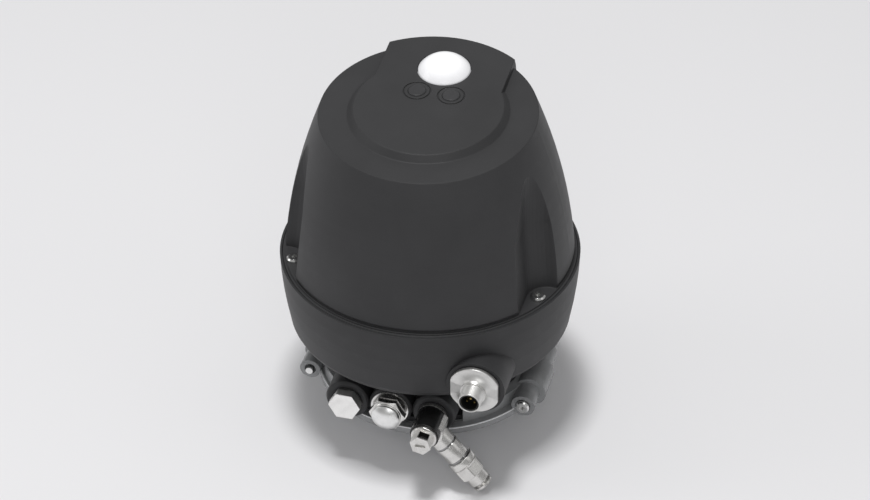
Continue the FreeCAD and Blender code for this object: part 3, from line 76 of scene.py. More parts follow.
class Value:
    """A number in a material's node tree; arithmetic on it adds Math nodes."""

    def __init__(self, tree: Tree, socket: Any) -> None:
        """Wrap an output socket of a tree."""
        self.tree = tree
        self.socket = socket

    def math(self, operation: str, *others: Any) -> Value:
        """Feed this value and others through one Math node.

        Args:
            operation: the Math node's operation.
            others: further values or plain numbers.

        Returns:
            The node's result.
        """
        inputs = dict(enumerate((self, *others)))
        return self.tree.value("ShaderNodeMath", {"operation": operation}, inputs)

    def __add__(self, other: Any) -> Value:
        """Sum."""
        return self.math("ADD", other)

    __radd__ = __add__

    def __sub__(self, other: Any) -> Value:
        """Difference."""
        return self.math("SUBTRACT", other)

    def __rsub__(self, other: float) -> Value:
        """Difference from a plain number."""
        return self * -1.0 + other

    def __mul__(self, other: Any) -> Value:
        """Product."""
        return self.math("MULTIPLY", other)

    def step(self, low: float, high: float) -> Value:
        """Step smoothly from nought to one.

        Args:
            low: where the step leaves nought.
            high: where it reaches one.

        Returns:
            The step.
        """
        settings = {"interpolation_type": "SMOOTHSTEP"}
        inputs = {"Value": self, "From Min": low, "From Max": high}
        return self.tree.value("ShaderNodeMapRange", settings, inputs, "Result")


class Tree:
    """The node tree of one material, with a Principled shader on its output."""

    def __init__(self, name: str) -> None:
        """Start an empty material with a Principled shader.

        Args:
            name: the material's name.
        """
        self.material = bpy.data.materials.new(name)
        self.material.use_nodes = True
        self.nodes = self.material.node_tree.nodes
        self.links = self.material.node_tree.links
        self.nodes.clear()
        output = self.nodes.new("ShaderNodeOutputMaterial")
        self.shader = self.nodes.new("ShaderNodeBsdfPrincipled")
        self.links.new(self.shader.outputs[0], output.inputs[0])
        self.place = self.node("ShaderNodeTexCoord").outputs["Object"]

    def node(self, kind: str, settings: dict[str, Any] | None = None,
             inputs: dict[Any, Any] | None = None) -> Any:
        """Add one node.

        Args:
            kind: the node's type.
            settings: its own settings, made before its sockets are fed.
            inputs: values, links or plain numbers for its sockets, by name or number.

        Returns:
            The node.
        """
        made = self.nodes.new(kind)
        for key, setting in (settings or {}).items():
            setattr(made, key, setting)
        for key, item in (inputs or {}).items():
            self.feed(made.inputs[key], item)
        return made

    def feed(self, socket: Any, item: Any) -> None:
        """Link or set one input socket.

        Args:
            socket: the input socket.
            item: a value or an output socket to link, or a plain number, vector or colour.
        """
        source = item.socket if isinstance(item, Value) else item
        if isinstance(source, bpy.types.NodeSocket):
            self.links.new(source, socket)
        else:
            socket.default_value = source

    def value(self, kind: str, settings: dict[str, Any] | None = None,
              inputs: dict[Any, Any] | None = None, output: Any = 0) -> Value:
        """Add a node and wrap one of its outputs."""
        return Value(self, self.node(kind, settings, inputs).outputs[output])

    def noise(self, period: float, detail: float = 2.0, rough: float = 0.5,
              where: Any = None) -> Value:
        """Add noise.

        Args:
            period: about how wide its features are, metres.
            detail: how many finer layers it has.
            rough: how strong the finer layers are.
            where: the coordinates it is read at, if not the object's own.

        Returns:
            The noise, nought to one.
        """
        inputs = {"Vector": where or self.place, "Scale": 1.0 / period,
                  "Detail": detail, "Roughness": rough}
        return self.value("ShaderNodeTexNoise", None, inputs, "Fac")

    def cells(self, period: float) -> Value:
        """Distance to the nearest of scattered points about one period apart, in periods."""
        inputs = {"Vector": self.place, "Scale": 1.0 / period}
        return self.value("ShaderNodeTexVoronoi", {"feature": "F1"}, inputs, "Distance")

    def blend(self, mask: Value, low: Any, high: Any) -> Any:
        """Run from one colour to another with a mask.

        Args:
            mask: nought for the first colour, one for the second.
            low: the first colour, or a colour socket.
            high: the second colour, or a colour socket.

        Returns:
            The socket of the mixed colour.
        """
        factor, first, second, result = 0, 6, 7, 2
        made = self.node("ShaderNodeMix", {"data_type": "RGBA"})
        for slot, item in ((factor, mask), (first, low), (second, high)):
            self.feed(made.inputs[slot], (*item, 1.0) if isinstance(item, tuple) else item)
        return made.outputs[result]

    def centred(self, centre: Sequence[float], axis: Sequence[float]) -> tuple[Value, Value]:
        """Distance from a line, and height along it.

        Args:
            centre: a point of the line, metres.
            axis: its direction.

        Returns:
            The length of the part of the offset that is square to the line, and the dot product of
            the offset with the line's direction.
        """
        unit = Vector(axis).normalized()
        offset = self.node("ShaderNodeVectorMath", {"operation": "SUBTRACT"},
                           {0: self.place, 1: tuple(centre)}).outputs[0]
        along = self.value("ShaderNodeVectorMath", {"operation": "DOT_PRODUCT"},
                           {0: offset, 1: tuple(unit)}, "Value")
        across = self.node("ShaderNodeVectorMath", {"operation": "CROSS_PRODUCT"},
                           {0: offset, 1: tuple(unit)}).outputs[0]
        radius = self.value("ShaderNodeVectorMath", {"operation": "LENGTH"}, {0: across}, "Value")
        return radius, along

    def within(self, distance: Value, low: float, high: float, soft: float = 0.15 * MM) -> Value:
        """One where a distance lies between low and high, with a soft step at each end."""
        return distance.step(low - soft, low) * (1.0 - distance.step(high, high + soft))

    def relief(self, height: Value, depth: float, edge: float = 0.0) -> None:
        """Raise a fine relief on the surface and round its edges.

        Args:
            height: the relief, nought to one.
            depth: its real height, metres.
            edge: the radius at which sharp edges catch the light, metres.
        """
        inputs: dict[Any, Any] = {"Height": height, "Distance": depth, "Strength": 1.0}
        if edge:
            bevel = self.node("ShaderNodeBevel", {"samples": 4}, {"Radius": edge})
            inputs["Normal"] = bevel.outputs[0]
        bump = self.node("ShaderNodeBump", None, inputs)
        self.feed(self.shader.inputs["Normal"], bump.outputs[0])

    def set(self, **sockets: Any) -> None:
        """Set the Principled shader's sockets.

        Args:
            sockets: a value, socket, number or colour for each, named with underscores for spaces.
        """
        names = {"Ior": "IOR", "Specular_Ior_Level": "Specular IOR Level"}
        for key, item in sockets.items():
            title = names.get(key.title(), key.replace("_", " ").title())
            colour = isinstance(item, tuple) and len(item) == 3
            self.feed(self.shader.inputs[title], (*item, 1.0) if colour else item)


def scaled(tone: Colour, factor: float) -> Colour:
    """A colour made darker or lighter, held at one."""
    return tuple(min(c * factor, 1.0) for c in tone)


# ---------------------------------------------------------------- finishes


@dataclass(frozen=True)
class Finish:
    """A named material; each kind of finish paints its own node tree."""

    name: str

    def paint(self, tree: Tree) -> None:
        """Fill the material's node tree."""
        raise NotImplementedError(type(self).__name__)

    def make(self) -> Any:
        """Build the finish.

        Returns:
            The material.
        """
        tree = Tree(self.name)
        self.paint(tree)
        return tree.material


@dataclass(frozen=True)
class MouldedPlastic(Finish):
    """Spark-eroded charcoal plastic: a fine grain, faint clouds in its tone, softened edges."""

    tone: Colour = CHARCOAL
    gloss: float = 0.52
    grain: float = 0.34 * MM
    grain_depth: float = 0.012 * MM
    edge: float = 0.5 * MM

    def paint(self, tree: Tree) -> None:
        """Paint clouds and specks, smoother where it is handled, and a pitted grain.

        Args:
            tree: the material's tree.
        """
        clouds = tree.noise(38 * MM, detail=3.0, rough=0.55)
        speck = tree.noise(self.grain * 0.8, detail=2.0, rough=0.6)
        handled = tree.noise(9 * MM, detail=4.0, rough=0.6).step(0.52, 0.74)
        mask = (clouds * 0.55 + speck * 0.45).step(0.3, 0.72)
        rough = self.gloss + (speck - 0.5) * 0.10 - handled * 0.05
        tree.set(base_color=tree.blend(mask, scaled(self.tone, 0.86), scaled(self.tone, 1.15)),
                 roughness=rough, specular_ior_level=0.36)
        pits = tree.cells(self.grain).math("MINIMUM", 0.75)
        tree.relief(pits * 0.7 + speck * 0.5, self.grain_depth, self.edge)


@dataclass(frozen=True)
class SmokeClear(Finish):
    """Clamp ring's clear smoke-grey plastic: flow marks, fine scuffs, painted highlight on flange
    edge.
    """

    shift: float
    tone: Colour = (0.29, 0.295, 0.30)
    # colour and width of the painted highlight on the flange's outer top edge
    painted_highlight_tone: Colour = (0.85, 0.86, 0.87)
    cover: float = 0.84
    flange_radius: float = 62.5 * MM
    flange_height: float = 4.0 * MM
    painted_highlight_width: float = 0.45 * MM
    radius_margin: float = 0.02 * MM
    height_margin: float = 0.05 * MM

    def paint(self, tree: Tree) -> None:
        """Paint flow and scuffs, and a painted highlight, light and opaque, on the flange's upper
        edge.

        Args:
            tree: the material's tree.
        """
        flow = tree.noise(16 * MM, detail=3.0, rough=0.5)
        scuffs = tree.noise(1.1 * MM, detail=4.0, rough=0.7).step(0.55, 0.8)
        radius, height = tree.centred((self.shift, 0.0, 0.0), UP)
        # painted highlight: a thin band at the flange's outer top edge turns light and opaque, for
        # the light that edge catches
        lit = tree.within(radius, self.flange_radius - self.painted_highlight_width,
                          self.flange_radius + self.radius_margin)
        lit = lit * tree.within(height, self.flange_height - self.painted_highlight_width,
                                self.flange_height + self.height_margin)
        tone = tree.blend(flow.step(0.35, 0.65), scaled(self.tone, 0.9), scaled(self.tone, 1.12))
        tree.set(base_color=tree.blend(lit, tone, self.painted_highlight_tone),
                 roughness=0.22 + scuffs * 0.2, specular_ior_level=0.5, ior=1.49,
                 alpha=(self.cover + (flow - 0.5) * 0.10 + lit).math("MINIMUM", 1.0))
        tree.relief(flow * 0.6 + scuffs * 0.2, depth=0.03 * MM, edge=0.45 * MM)


class Cut(Enum):
    """How a metal surface was worked."""

    TURNED = "turned"
    GROUND = "ground"
    POLISHED = "polished"


CUT_DEPTH = {Cut.TURNED: 0.004 * MM, Cut.GROUND: 0.004 * MM, Cut.POLISHED: 0.0015 * MM}


@dataclass(frozen=True)
class Pocket:
    """A deep pocket painted as shade: a point, and the bands that bound the pocket.

    Each band is a direction and the pocket's lowest and highest distance from the point along it.
    """

    centre: Spot
    bands: tuple[tuple[Spot, float, float], ...]

    def shade(self, tree: Tree) -> Value:
        """Find where the shade is.

        Args:
            tree: the material's tree.

        Returns:
            One inside the pocket and nought outside: the product of its bands.
        """
        inside, *others = [tree.within(tree.centred(self.centre, direction)[1], low, high)
                           for direction, low, high in self.bands]
        for band in others:
            inside = inside * band
        return inside


@dataclass(frozen=True)
class PlatedMetal(Finish):
    """Metal with its tool marks: rings about an axis where turned, fine scratches where ground."""

    cut: Cut
    tone: Colour = (0.72, 0.70, 0.67)
    gloss: float = 0.24
    centre: Spot = (0.0, 0.0, 0.0)
    axis: Spot = UP
    edge: float = 0.22 * MM
    pitch: float = 0.16 * MM
    pocket: Pocket | None = None

    def marks(self, tree: Tree, fine: Value) -> Value:
        """Draw the tool marks.

        Args:
            tree: the material's tree.
            fine: the fine grain of the plating.

        Returns:
            The marks, nought to one.
        """
        if self.cut is Cut.TURNED:
            radius, along = tree.centred(self.centre, self.axis)
            rings = (radius + along) * (2 * math.pi / self.pitch)
            return (rings.math("SINE") * 0.5 + 0.5) * 0.55 + fine * 0.45
        if self.cut is Cut.GROUND:
            lengthwise = {"Vector": tree.place, "Scale": (1.0, 1.0, 0.08)}
            stretched = tree.node("ShaderNodeMapping", None, lengthwise).outputs[0]
            return tree.noise(0.12 * MM, detail=3.0, rough=0.7, where=stretched)
        return fine

    def paint(self, tree: Tree) -> None:
        """Paint faint stains and tool marks, and painted shade, black and dull, where a pocket is.

        Args:
            tree: the material's tree.
        """
        stain = tree.noise(5 * MM, detail=3.0, rough=0.6)
        fine = tree.noise(0.35 * MM, detail=3.0, rough=0.65)
        marks = self.marks(tree, fine)
        mask = (stain * 0.6 + fine * 0.4).step(0.3, 0.62)
        tone = tree.blend(mask, scaled(self.tone, 0.86), self.tone)
        rough = self.gloss + (marks - 0.5) * 0.10 + (stain - 0.5) * 0.10
        if self.pocket:
            # painted shade: black, dull and not metallic inside the pocket
            shade = self.pocket.shade(tree)
            tree.set(base_color=tree.blend(shade, tone, DEEP_SHADE),
                     metallic=1.0 - shade, roughness=rough + shade * 0.5)
        else:
            tree.set(base_color=tone, metallic=1.0, roughness=rough)
        tree.relief(marks, CUT_DEPTH[self.cut], self.edge)


@dataclass(frozen=True)
class SoftRubber(Finish):
    """Dull black rubber with a dusty bloom."""

    tone: Colour = (0.018, 0.018, 0.019)
    dust: Colour = (0.06, 0.06, 0.06)

    def paint(self, tree: Tree) -> None:
        """Paint the bloom over a dull grain.

        Args:
            tree: the material's tree.
        """
        bloom = tree.noise(2.5 * MM, detail=4.0, rough=0.7).step(0.45, 0.75)
        grain = tree.noise(0.3 * MM, detail=2.0, rough=0.5)
        tree.set(base_color=tree.blend(bloom * 0.6, self.tone, self.dust),
                 roughness=0.68 + (grain - 0.5) * 0.12, specular_ior_level=0.35)
        tree.relief(grain, depth=0.01 * MM, edge=0.2 * MM)


@dataclass(frozen=True)
class OpalLens(Finish):
    """Opal white light cap: milky, glossy, faintly lit, painted with shade towards its foot."""

    foot: float
    top: float
    shaded_foot_tone: Colour = (0.74, 0.74, 0.76)
    lit_top_tone: Colour = (0.93, 0.93, 0.94)

    def paint(self, tree: Tree) -> None:
        """Paint shade that greys the cap towards its foot, with milky clouds, and a faint glow.

        Args:
            tree: the material's tree.
        """
        # painted shade: the colour runs from grey at the foot to white at the top, and the glow
        # follows it
        _, height = tree.centred((0.0, 0.0, 0.0), UP)
        rise = height.step(self.foot, self.top)
        milk = tree.noise(6 * MM, detail=3.0, rough=0.5)
        shade = tree.blend(rise * 0.85 + milk * 0.15, self.shaded_foot_tone, self.lit_top_tone)
        tree.set(base_color=shade, roughness=0.22 + (milk - 0.5) * 0.06, ior=1.5,
                 emission_color=shade, emission_strength=0.16)
        tree.relief(milk, depth=0.01 * MM, edge=0.3 * MM)


@dataclass(frozen=True)
class SmoothPlastic(Finish):
    """Plain moulded plastic with a little tone and gloss variation."""

    tone: Colour
    gloss: float = 0.4
    edge: float = 0.25 * MM

    def paint(self, tree: Tree) -> None:
        """Paint faint clouds and a fine grain.

        Args:
            tree: the material's tree.
        """
        clouds = tree.noise(4 * MM, detail=3.0, rough=0.6)
        fine = tree.noise(0.25 * MM, detail=2.0, rough=0.5)
        tree.set(base_color=tree.blend(clouds.step(0.3, 0.7), scaled(self.tone, 0.8), self.tone),
                 roughness=self.gloss + (fine - 0.5) * 0.1)
        tree.relief(fine * 0.5 + clouds * 0.5, 0.008 * MM, self.edge)


@dataclass(frozen=True)
class BoardLaminate(Finish):
    """Green board with fine copper tracks under its mask."""

    mask_tone: Colour = (0.01, 0.09, 0.03)
    track_tone: Colour = (0.03, 0.19, 0.07)
    across_gap: float = 1.4 * MM
    back_gap: float = 2.1 * MM

    def paint(self, tree: Tree) -> None:
        """Paint tracks where two wandering waves meet.

        Args:
            tree: the material's tree.
        """
        parts = tree.node("ShaderNodeSeparateXYZ", None, {0: tree.place})
        across = Value(tree, parts.outputs[0]) * (math.pi / self.across_gap)
        back = Value(tree, parts.outputs[1]) * (math.pi / self.back_gap)
        wander = tree.noise(7 * MM, detail=1.0, rough=0.5)
        waves = (across + wander * 6.0).math("SINE") * (back - wander * 5.0).math("SINE")
        tracks = waves.step(0.25, 0.4)
        tree.set(base_color=tree.blend(tracks, self.mask_tone, self.track_tone), roughness=0.34)
        tree.relief(tracks, depth=0.02 * MM)


# ---------------------------------------------------------------- surfaces


def grid_mesh(name: str, points: np.ndarray, wrap_rows: bool, wrap_columns: bool) -> Any:
    """Make a mesh object from a grid of points.

    The faces join each point to its neighbours in the next row and column; where a direction wraps,
    the last line joins the first.

    Args:
        name: the object's name.
        points: the grid, rows by columns by three, metres.
        wrap_rows: the last row joins the first.
        wrap_columns: the last column joins the first.

    Returns:
        The object, smooth shaded.
    """
    rows, columns = points.shape[:2]
    row = np.arange(rows if wrap_rows else rows - 1)
    column = np.arange(columns if wrap_columns else columns - 1)
    r, c = (a.ravel() for a in np.meshgrid(row, column, indexing="ij"))
    r2, c2 = (r + 1) % rows, (c + 1) % columns
    corners = (r * columns + c, r * columns + c2, r2 * columns + c2, r2 * columns + c)
    quads = np.stack(corners, axis=1)
    mesh = bpy.data.meshes.new(name)
    mesh.from_pydata(points.reshape(-1, 3), [], quads)
    mesh.polygons.foreach_set("use_smooth", np.ones(len(quads), dtype=bool))
    mesh.update()
    made = bpy.data.objects.new(name, mesh)
    bpy.context.scene.collection.objects.link(made)
    return made


def frame_on(centre: Sequence[float], axis: Sequence[float]) -> tuple[np.ndarray, np.ndarray]:
    """Find a frame on an axis.

    Args:
        centre: the frame's origin, metres.
        axis: the axis's direction.

    Returns:
        The origin, and three directions: two square to the axis, and the axis itself.
    """
    along = np.array(Vector(axis).normalized())
    upright = abs(along[2]) >= 0.9
    seed = np.array([1.0, 0.0, 0.0]) if upright else np.array([0.0, 0.0, 1.0])
    side = np.cross(along, seed)
    side /= np.linalg.norm(side)
    return np.array(centre, dtype=float), np.stack([side, np.cross(along, side), along])


def turned(name: str, profile: np.ndarray, centre: Sequence[float], axis: Sequence[float],
           segments: int = 96, shapes: Sequence[Shape] = ()) -> Any:
    """Carry a closed profile of (radius, height) round an axis.

    A point at angle a is the centre, plus the radius times the cosine and sine of a on the two side
    directions, plus the height along the axis. Shape functions may change the radius at each
    (angle, height) before that, as a thread or a hexagon does.

    Args:
        name: the object's name.
        profile: the closed outline, metres.
        centre: where height nought is.
        axis: the axis's direction.
        segments: how many steps a turn has.
        shapes: functions of radius, angle and height that give the new radius, in their order.

    Returns:
        The object.
    """
    origin, basis = frame_on(centre, axis)
    angle = np.linspace(0.0, 2 * math.pi, segments, endpoint=False)
    radius, turn = np.meshgrid(profile[:, 0], angle, indexing="ij")
    height = np.repeat(profile[:, 1:2], segments, axis=1)
    for shape in shapes:
        radius = shape(radius, turn, height)
    local = np.stack([radius * np.cos(turn), radius * np.sin(turn), height], axis=-1)
    return grid_mesh(name, origin + local @ basis, True, True)


def rounded(corners: Sequence[Spot], steps: int = 4) -> np.ndarray:
    """Close an outline and round its corners.

    Each corner is (radius, height, rounding). A rounded corner becomes a quadratic curve between
    the points one rounding before and after it: (1-t)^2 of the first, 2t(1-t) of the corner, t^2 of
    the last.

    Args:
        corners: the outline, metres.
        steps: how many parts a rounding has.

    Returns:
        The points.
    """
    spots = np.array([c[:2] for c in corners], dtype=float)
    before = np.roll(spots, 1, axis=0) - spots
    after = np.roll(spots, -1, axis=0) - spots
    out = []
    t = np.linspace(0.0, 1.0, steps + 1)[:, None]
    for spot, back, ahead, (_, _, reach) in zip(spots, before, after, corners):
        if reach <= 0.0:
            out.append(spot[None])
            continue
        first = spot + back / np.linalg.norm(back) * reach
        last = spot + ahead / np.linalg.norm(ahead) * reach
        out.append((1 - t) ** 2 * first + 2 * t * (1 - t) * spot + t ** 2 * last)
    return np.concatenate(out)


def hexagonal(flats: float, top: float | None, phase: float = 0.0) -> Shape:
    """Turn the outermost rows of a turned piece into a hexagon.

    At an angle whose distance from the nearest corner is d, a side lies at half the width across
    flats over the cosine of (30 degrees - |d|). The chamfer is a cone: the radius is at most 0.96
    of half the flats plus 1.73 times the depth below the top. Without a chamfer, each row is the
    hexagon times the row's radius over the corner's radius.

    Args:
        flats: width across flats.
        top: height of the hexagon's chamfered face, or None for a hexagon without a chamfer.
        phase: angle of one corner, radians.

    Returns:
        The shape function.
    """
    sixth = math.pi / 3
    inner, face, slope = flats * 0.499, flats * 0.48, 1.73

    def shape(radius: np.ndarray, turn: np.ndarray, height: np.ndarray) -> np.ndarray:
        """Cut the sides and the chamfer where a row is wider than the flats.

        Args:
            radius: each point's radius.
            turn: its angle.
            height: its height.

        Returns:
            The new radii.
        """
        away = np.abs((turn - phase + sixth / 2) % sixth - sixth / 2)
        side = flats / 2 / np.cos(sixth / 2 - away)
        if top is None:
            return np.where(radius > inner, side * radius * math.sqrt(3.0) / flats, radius)
        cone = face + (top - height) * slope
        return np.where(radius > inner, np.minimum(np.minimum(side, cone), radius), radius)

    return shape


def threaded(major: float, pitch: float, low: float, high: float) -> Shape:
    """Cut a thread into the rows of a turned piece that have the major radius.

    The groove's depth is 0.55 of the pitch times a wave: |2f - 1|, where f is the fractional part
    of height over pitch minus the share of the turn. It fades out over half a pitch at each end.

    Args:
        major: radius of the crests.
        pitch: distance from crest to crest.
        low: where the thread starts.
        high: where it ends.

    Returns:
        The shape function.
    """
    depth, fading, slack = 0.55 * pitch, 0.5 * pitch, 0.01 * MM

    def shape(radius: np.ndarray, turn: np.ndarray, height: np.ndarray) -> np.ndarray:
        """Take the groove off.

        Args:
            radius: each point's radius.
            turn: its angle.
            height: its height.

        Returns:
            The new radii.
        """
        share = (height / pitch - turn / (2 * math.pi)) % 1.0
        wave = np.abs(2 * share - 1)
        fade = np.clip(np.minimum(height - low, high - height) / fading, 0.0, 1.0)
        return np.where(np.abs(radius - major) < slack, radius - depth * wave * fade, radius)

    return shape


def rows(radius: float, low: float, high: float, gap: float) -> np.ndarray:
    """Points of a straight stretch of an outline, one gap apart, from low to high."""
    heights = np.linspace(low, high, max(2, int(round(abs(high - low) / gap)) + 1))
    return np.stack([np.full_like(heights, radius), heights], axis=1)


def cap(radius: float, low: float, rise: float, steps: int) -> np.ndarray:
    """Outline of a ball cap, from its edge to the axis.

    The ball's radius is (radius^2 / rise + rise) / 2; a point at angle a from the top is at the
    ball's radius times sine a, and at the top's height less the ball's radius times (1 - cosine a).

    Args:
        radius: radius of the cap's edge.
        low: height of the edge.
        rise: how far the top is above the edge.
        steps: how many points it has.

    Returns:
        The points.
    """
    ball = (radius ** 2 / rise + rise) / 2
    angle = np.linspace(2 * math.atan(rise / radius), AXIS / ball, steps)
    return np.stack([ball * np.sin(angle), low + rise - ball * (1 - np.cos(angle))], axis=1)


def stand_in(made: Any, node: str, body: str, material: Any) -> None:
    """Show a finer piece in the place of a CAD node.

    Args:
        made: the finer piece.
        node: the CAD node it stands for.
        body: the moving body that carries it.
        material: its finish.
    """
    dress(made, material)
    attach(made, body)
    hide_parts(node)
    LOG.info("%s stands in for %s with %d faces", made.name, node, len(made.data.polygons))


def dress(thing: Any, material: Any) -> None:
    """Give an object one material in every slot.

    Args:
        thing: the object.
        material: its finish.
    """
    if not thing.data.materials:
        thing.data.materials.append(material)
    for index in range(len(thing.data.materials)):
        thing.data.materials[index] = material


def dress_nodes(material: Any, *names: str) -> None:
    """Give CAD nodes one material.

    Args:
        material: the finish.
        names: the CAD nodes.
    """
    for name in names:
        dress(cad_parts[name], material)
        LOG.info("%s wears %s", name, material.name)


# ---------------------------------------------------------------- sub-assemblies


@dataclass
class Housing:
    """The charcoal bowl and dome, with their screws and seals."""

    bowl_tone: Colour = (0.0295, 0.0295, 0.031)
    dome_edge: float = 0.9 * MM

    def build(self) -> None:
        """Dress the housing."""
        dress_nodes(MouldedPlastic("bowl_charcoal", self.bowl_tone).make(), "base_bowl")
        dress_nodes(MouldedPlastic("dome_charcoal", edge=self.dome_edge).make(), "dome_cover")
        steel = PlatedMetal("cover_screw_steel", Cut.POLISHED, (0.78, 0.78, 0.77), 0.16).make()
        dress_nodes(steel, "cover_screws")
        dress_nodes(SoftRubber("seal_rubber").make(), "cover_seal", "light_seal", "plug_seal",
                    "vent_seal", "socket_seal", "elbow_seal", "adapter_seal")


@dataclass
class CrownControls:
    """The opal light and the two buttons in the crown."""

    tilt: float = math.radians(4.8)
    crown: tuple[float, float] = (-1.2 * MM, 165.5 * MM)
    plateau: float = 3.4 * MM
    light_distance: float = 32.3 * MM
    radius: float = 13.7 * MM
    rise: float = 7.0 * MM
    wall: float = 2.0 * MM
    flange_radius: float = 16.6 * MM
    flange: float = 1.6 * MM
    seat: float = -3.6 * MM
    painted_shade_share: float = 1.3

    def lens(self) -> Any:
        """Turn the light's cap: a flange under the crown, a neck and a ball cap over a hollow.

        Returns:
            The cap, on the crown's slope.
        """
        low, edge = self.seat - self.flange, 0.2 * MM
        hollow = self.radius - self.wall
        outline = np.concatenate([
            cap(hollow, 0.0, self.rise - self.wall, steps=16)[::-1],
            rounded([(hollow, low, 0.0), (self.flange_radius, low, edge),
                     (self.flange_radius, self.seat, edge), (self.radius, self.seat, 0.0)], 3),
            cap(self.radius, 0.0, self.rise, steps=28),
        ])
        lean, lift = math.sin(self.tilt), math.cos(self.tilt)
        y = self.light_distance * lift - self.plateau * lean + self.crown[0]
        z = self.light_distance * lean + self.plateau * lift + self.crown[1]
        return turned("opal_light_cap", outline, (0.0, y, z), (0.0, -lean, lift), segments=128)

    def build(self) -> None:
        """Build the light's cap and dress the buttons."""
        _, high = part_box("light_lens")
        # painted shade on the light's cap, greying it from this height down to its foot
        opal = OpalLens("opal_lens", high.z - self.painted_shade_share * self.rise, high.z)
        stand_in(self.lens(), "light_lens", "head", opal.make())
        dress_nodes(MouldedPlastic("button_charcoal", (0.040, 0.040, 0.042), 0.42).make(),
                    "left_button", "right_button")


@dataclass
class ClampRing:
    """The clear smoke ring in two halves and its two screws."""

    flange_shift: float = 1.5 * MM

    def build(self) -> None:
        """Dress the ring."""
        dress_nodes(SmokeClear("smoke_clear_front", self.flange_shift).make(), "front_clamp_half")
        dress_nodes(SmokeClear("smoke_clear_rear", -self.flange_shift).make(), "rear_clamp_half")
        steel = PlatedMetal("clamp_screw_steel", Cut.POLISHED, (0.8, 0.8, 0.79), 0.14).make()
        dress_nodes(steel, "clamp_screws")


@dataclass
class AirPorts:
    """The plug and the vent valve in the left and middle ports.

    Heights are measured out from a port's face.
    """

    plug_across: float = -29.3 * MM
    vent_across: float = -5.6 * MM
    shank: float = 5.65 * MM
    depth: float = 10.0 * MM
    pitch: float = 1.0 * MM
    thread_gap: float = 0.12 * MM
    plug_flats: float = 15.2 * MM
    plug_low: float = 1.0 * MM
    plug_top: float = 6.0 * MM
    plug_edge: float = 0.12 * MM
    vent_flats: float = 17.2 * MM
    vent_low: float = 3.4 * MM
    vent_high: float = 7.4 * MM
    vent_top: float = 8.2 * MM
    vent_bore: float = 3.0 * MM
    vent_collar: float = 8.0 * MM
    collar_edge: float = 0.2 * MM
    dome_radius: float = 7.6 * MM
    dome_skirt: float = 1.2 * MM
    dome_rise: float = 4.0 * MM

    def seat(self, across: float) -> Spot:
        """Centre of a port's face."""
        return across, -PORT_FACE, PORT_HEIGHT

    def screwed(self, name: str, across: float, inner: float, low: float, head: list[Any],
                hexagon: Shape) -> Any:
        """Turn a piece that is screwed into a port.

        Args:
            name: the object's name.
            across: where its port is.
            inner: radius at which its outline starts and ends.
            low: height at which the threaded shank ends and the head starts.
            head: the stretches of the head's outline.
            hexagon: the shape function of the head.

        Returns:
            The object.
        """
        outline = np.concatenate([
            [[inner, -self.depth]],
            rows(self.shank, -self.depth, low, self.thread_gap),
            *head,
        ])
        thread = threaded(self.shank, self.pitch, -self.depth, low)
        return turned(name, outline, self.seat(across), FRONT, FINE, (thread, hexagon))

    def plug(self) -> Any:
        """Turn the plug: a threaded shank and a hexagon with a flat, sharp-edged face.

        Returns:
            The plug.
        """
        top, edge = self.plug_top, self.plug_edge
        corner = self.plug_flats / math.sqrt(3.0)
        head = [
            rows(corner, self.plug_low, top - 0.2 * MM, 1.0 * MM),
            [[corner, top - edge], [corner - edge, top], [corner - 3 * edge, top], [edge, top],
             [AXIS, top]],
        ]
        return self.screwed("hexagon_plug", self.plug_across, AXIS, self.plug_low, head,
                            hexagonal(self.plug_flats, None))

    def vent(self) -> Any:
        """Turn the vent valve's body: a bored threaded shank, a chamfered hexagon and a collar.

        Returns:
            The body.
        """
        high, top, edge, collar = self.vent_high, self.vent_top, self.collar_edge, self.vent_collar
        corner = self.vent_flats / math.sqrt(3.0)
        head = [
            rows(corner, self.vent_low, high - 1.2 * MM, 1.0 * MM),
            rows(corner, high - 1.1 * MM, high, 0.1 * MM),
            [[collar, high], [collar, top - edge], [collar - edge, top], [self.vent_bore, top]],
        ]
        return self.screwed("vent_hexagon", self.vent_across, self.vent_bore, self.vent_low, head,
                            hexagonal(self.vent_flats, high))

    def dome(self) -> Any:
        """Turn the vent valve's cap: a short skirt under a ball cap.

        Returns:
            The cap.
        """
        low, radius, skirt = self.vent_top, self.dome_radius, self.dome_skirt
        outline = np.concatenate([
            [[AXIS, low], [radius, low]],
            cap(radius, low + skirt, self.dome_rise - skirt, steps=24),
        ])
        return turned("vent_dome_cap", outline, self.seat(self.vent_across), FRONT)

    def build(self) -> None:
        """Build the plug and the vent valve."""
        plug = PlatedMetal("plug_nickel", Cut.POLISHED, (0.96, 0.955, 0.94), 0.42)
        stand_in(self.plug(), "hex_plug", "head", plug.make())
        vent = PlatedMetal("vent_nickel", Cut.TURNED, (0.86, 0.85, 0.83), 0.26,
                           self.seat(self.vent_across), FRONT)
        metal = vent.make()
        stand_in(self.vent(), "vent_body", "head", metal)
        dress_nodes(metal, "vent_washer")
        polished = PlatedMetal("vent_dome", Cut.POLISHED, (0.90, 0.90, 0.89), 0.30).make()
        stand_in(self.dome(), "vent_cap", "head", polished)


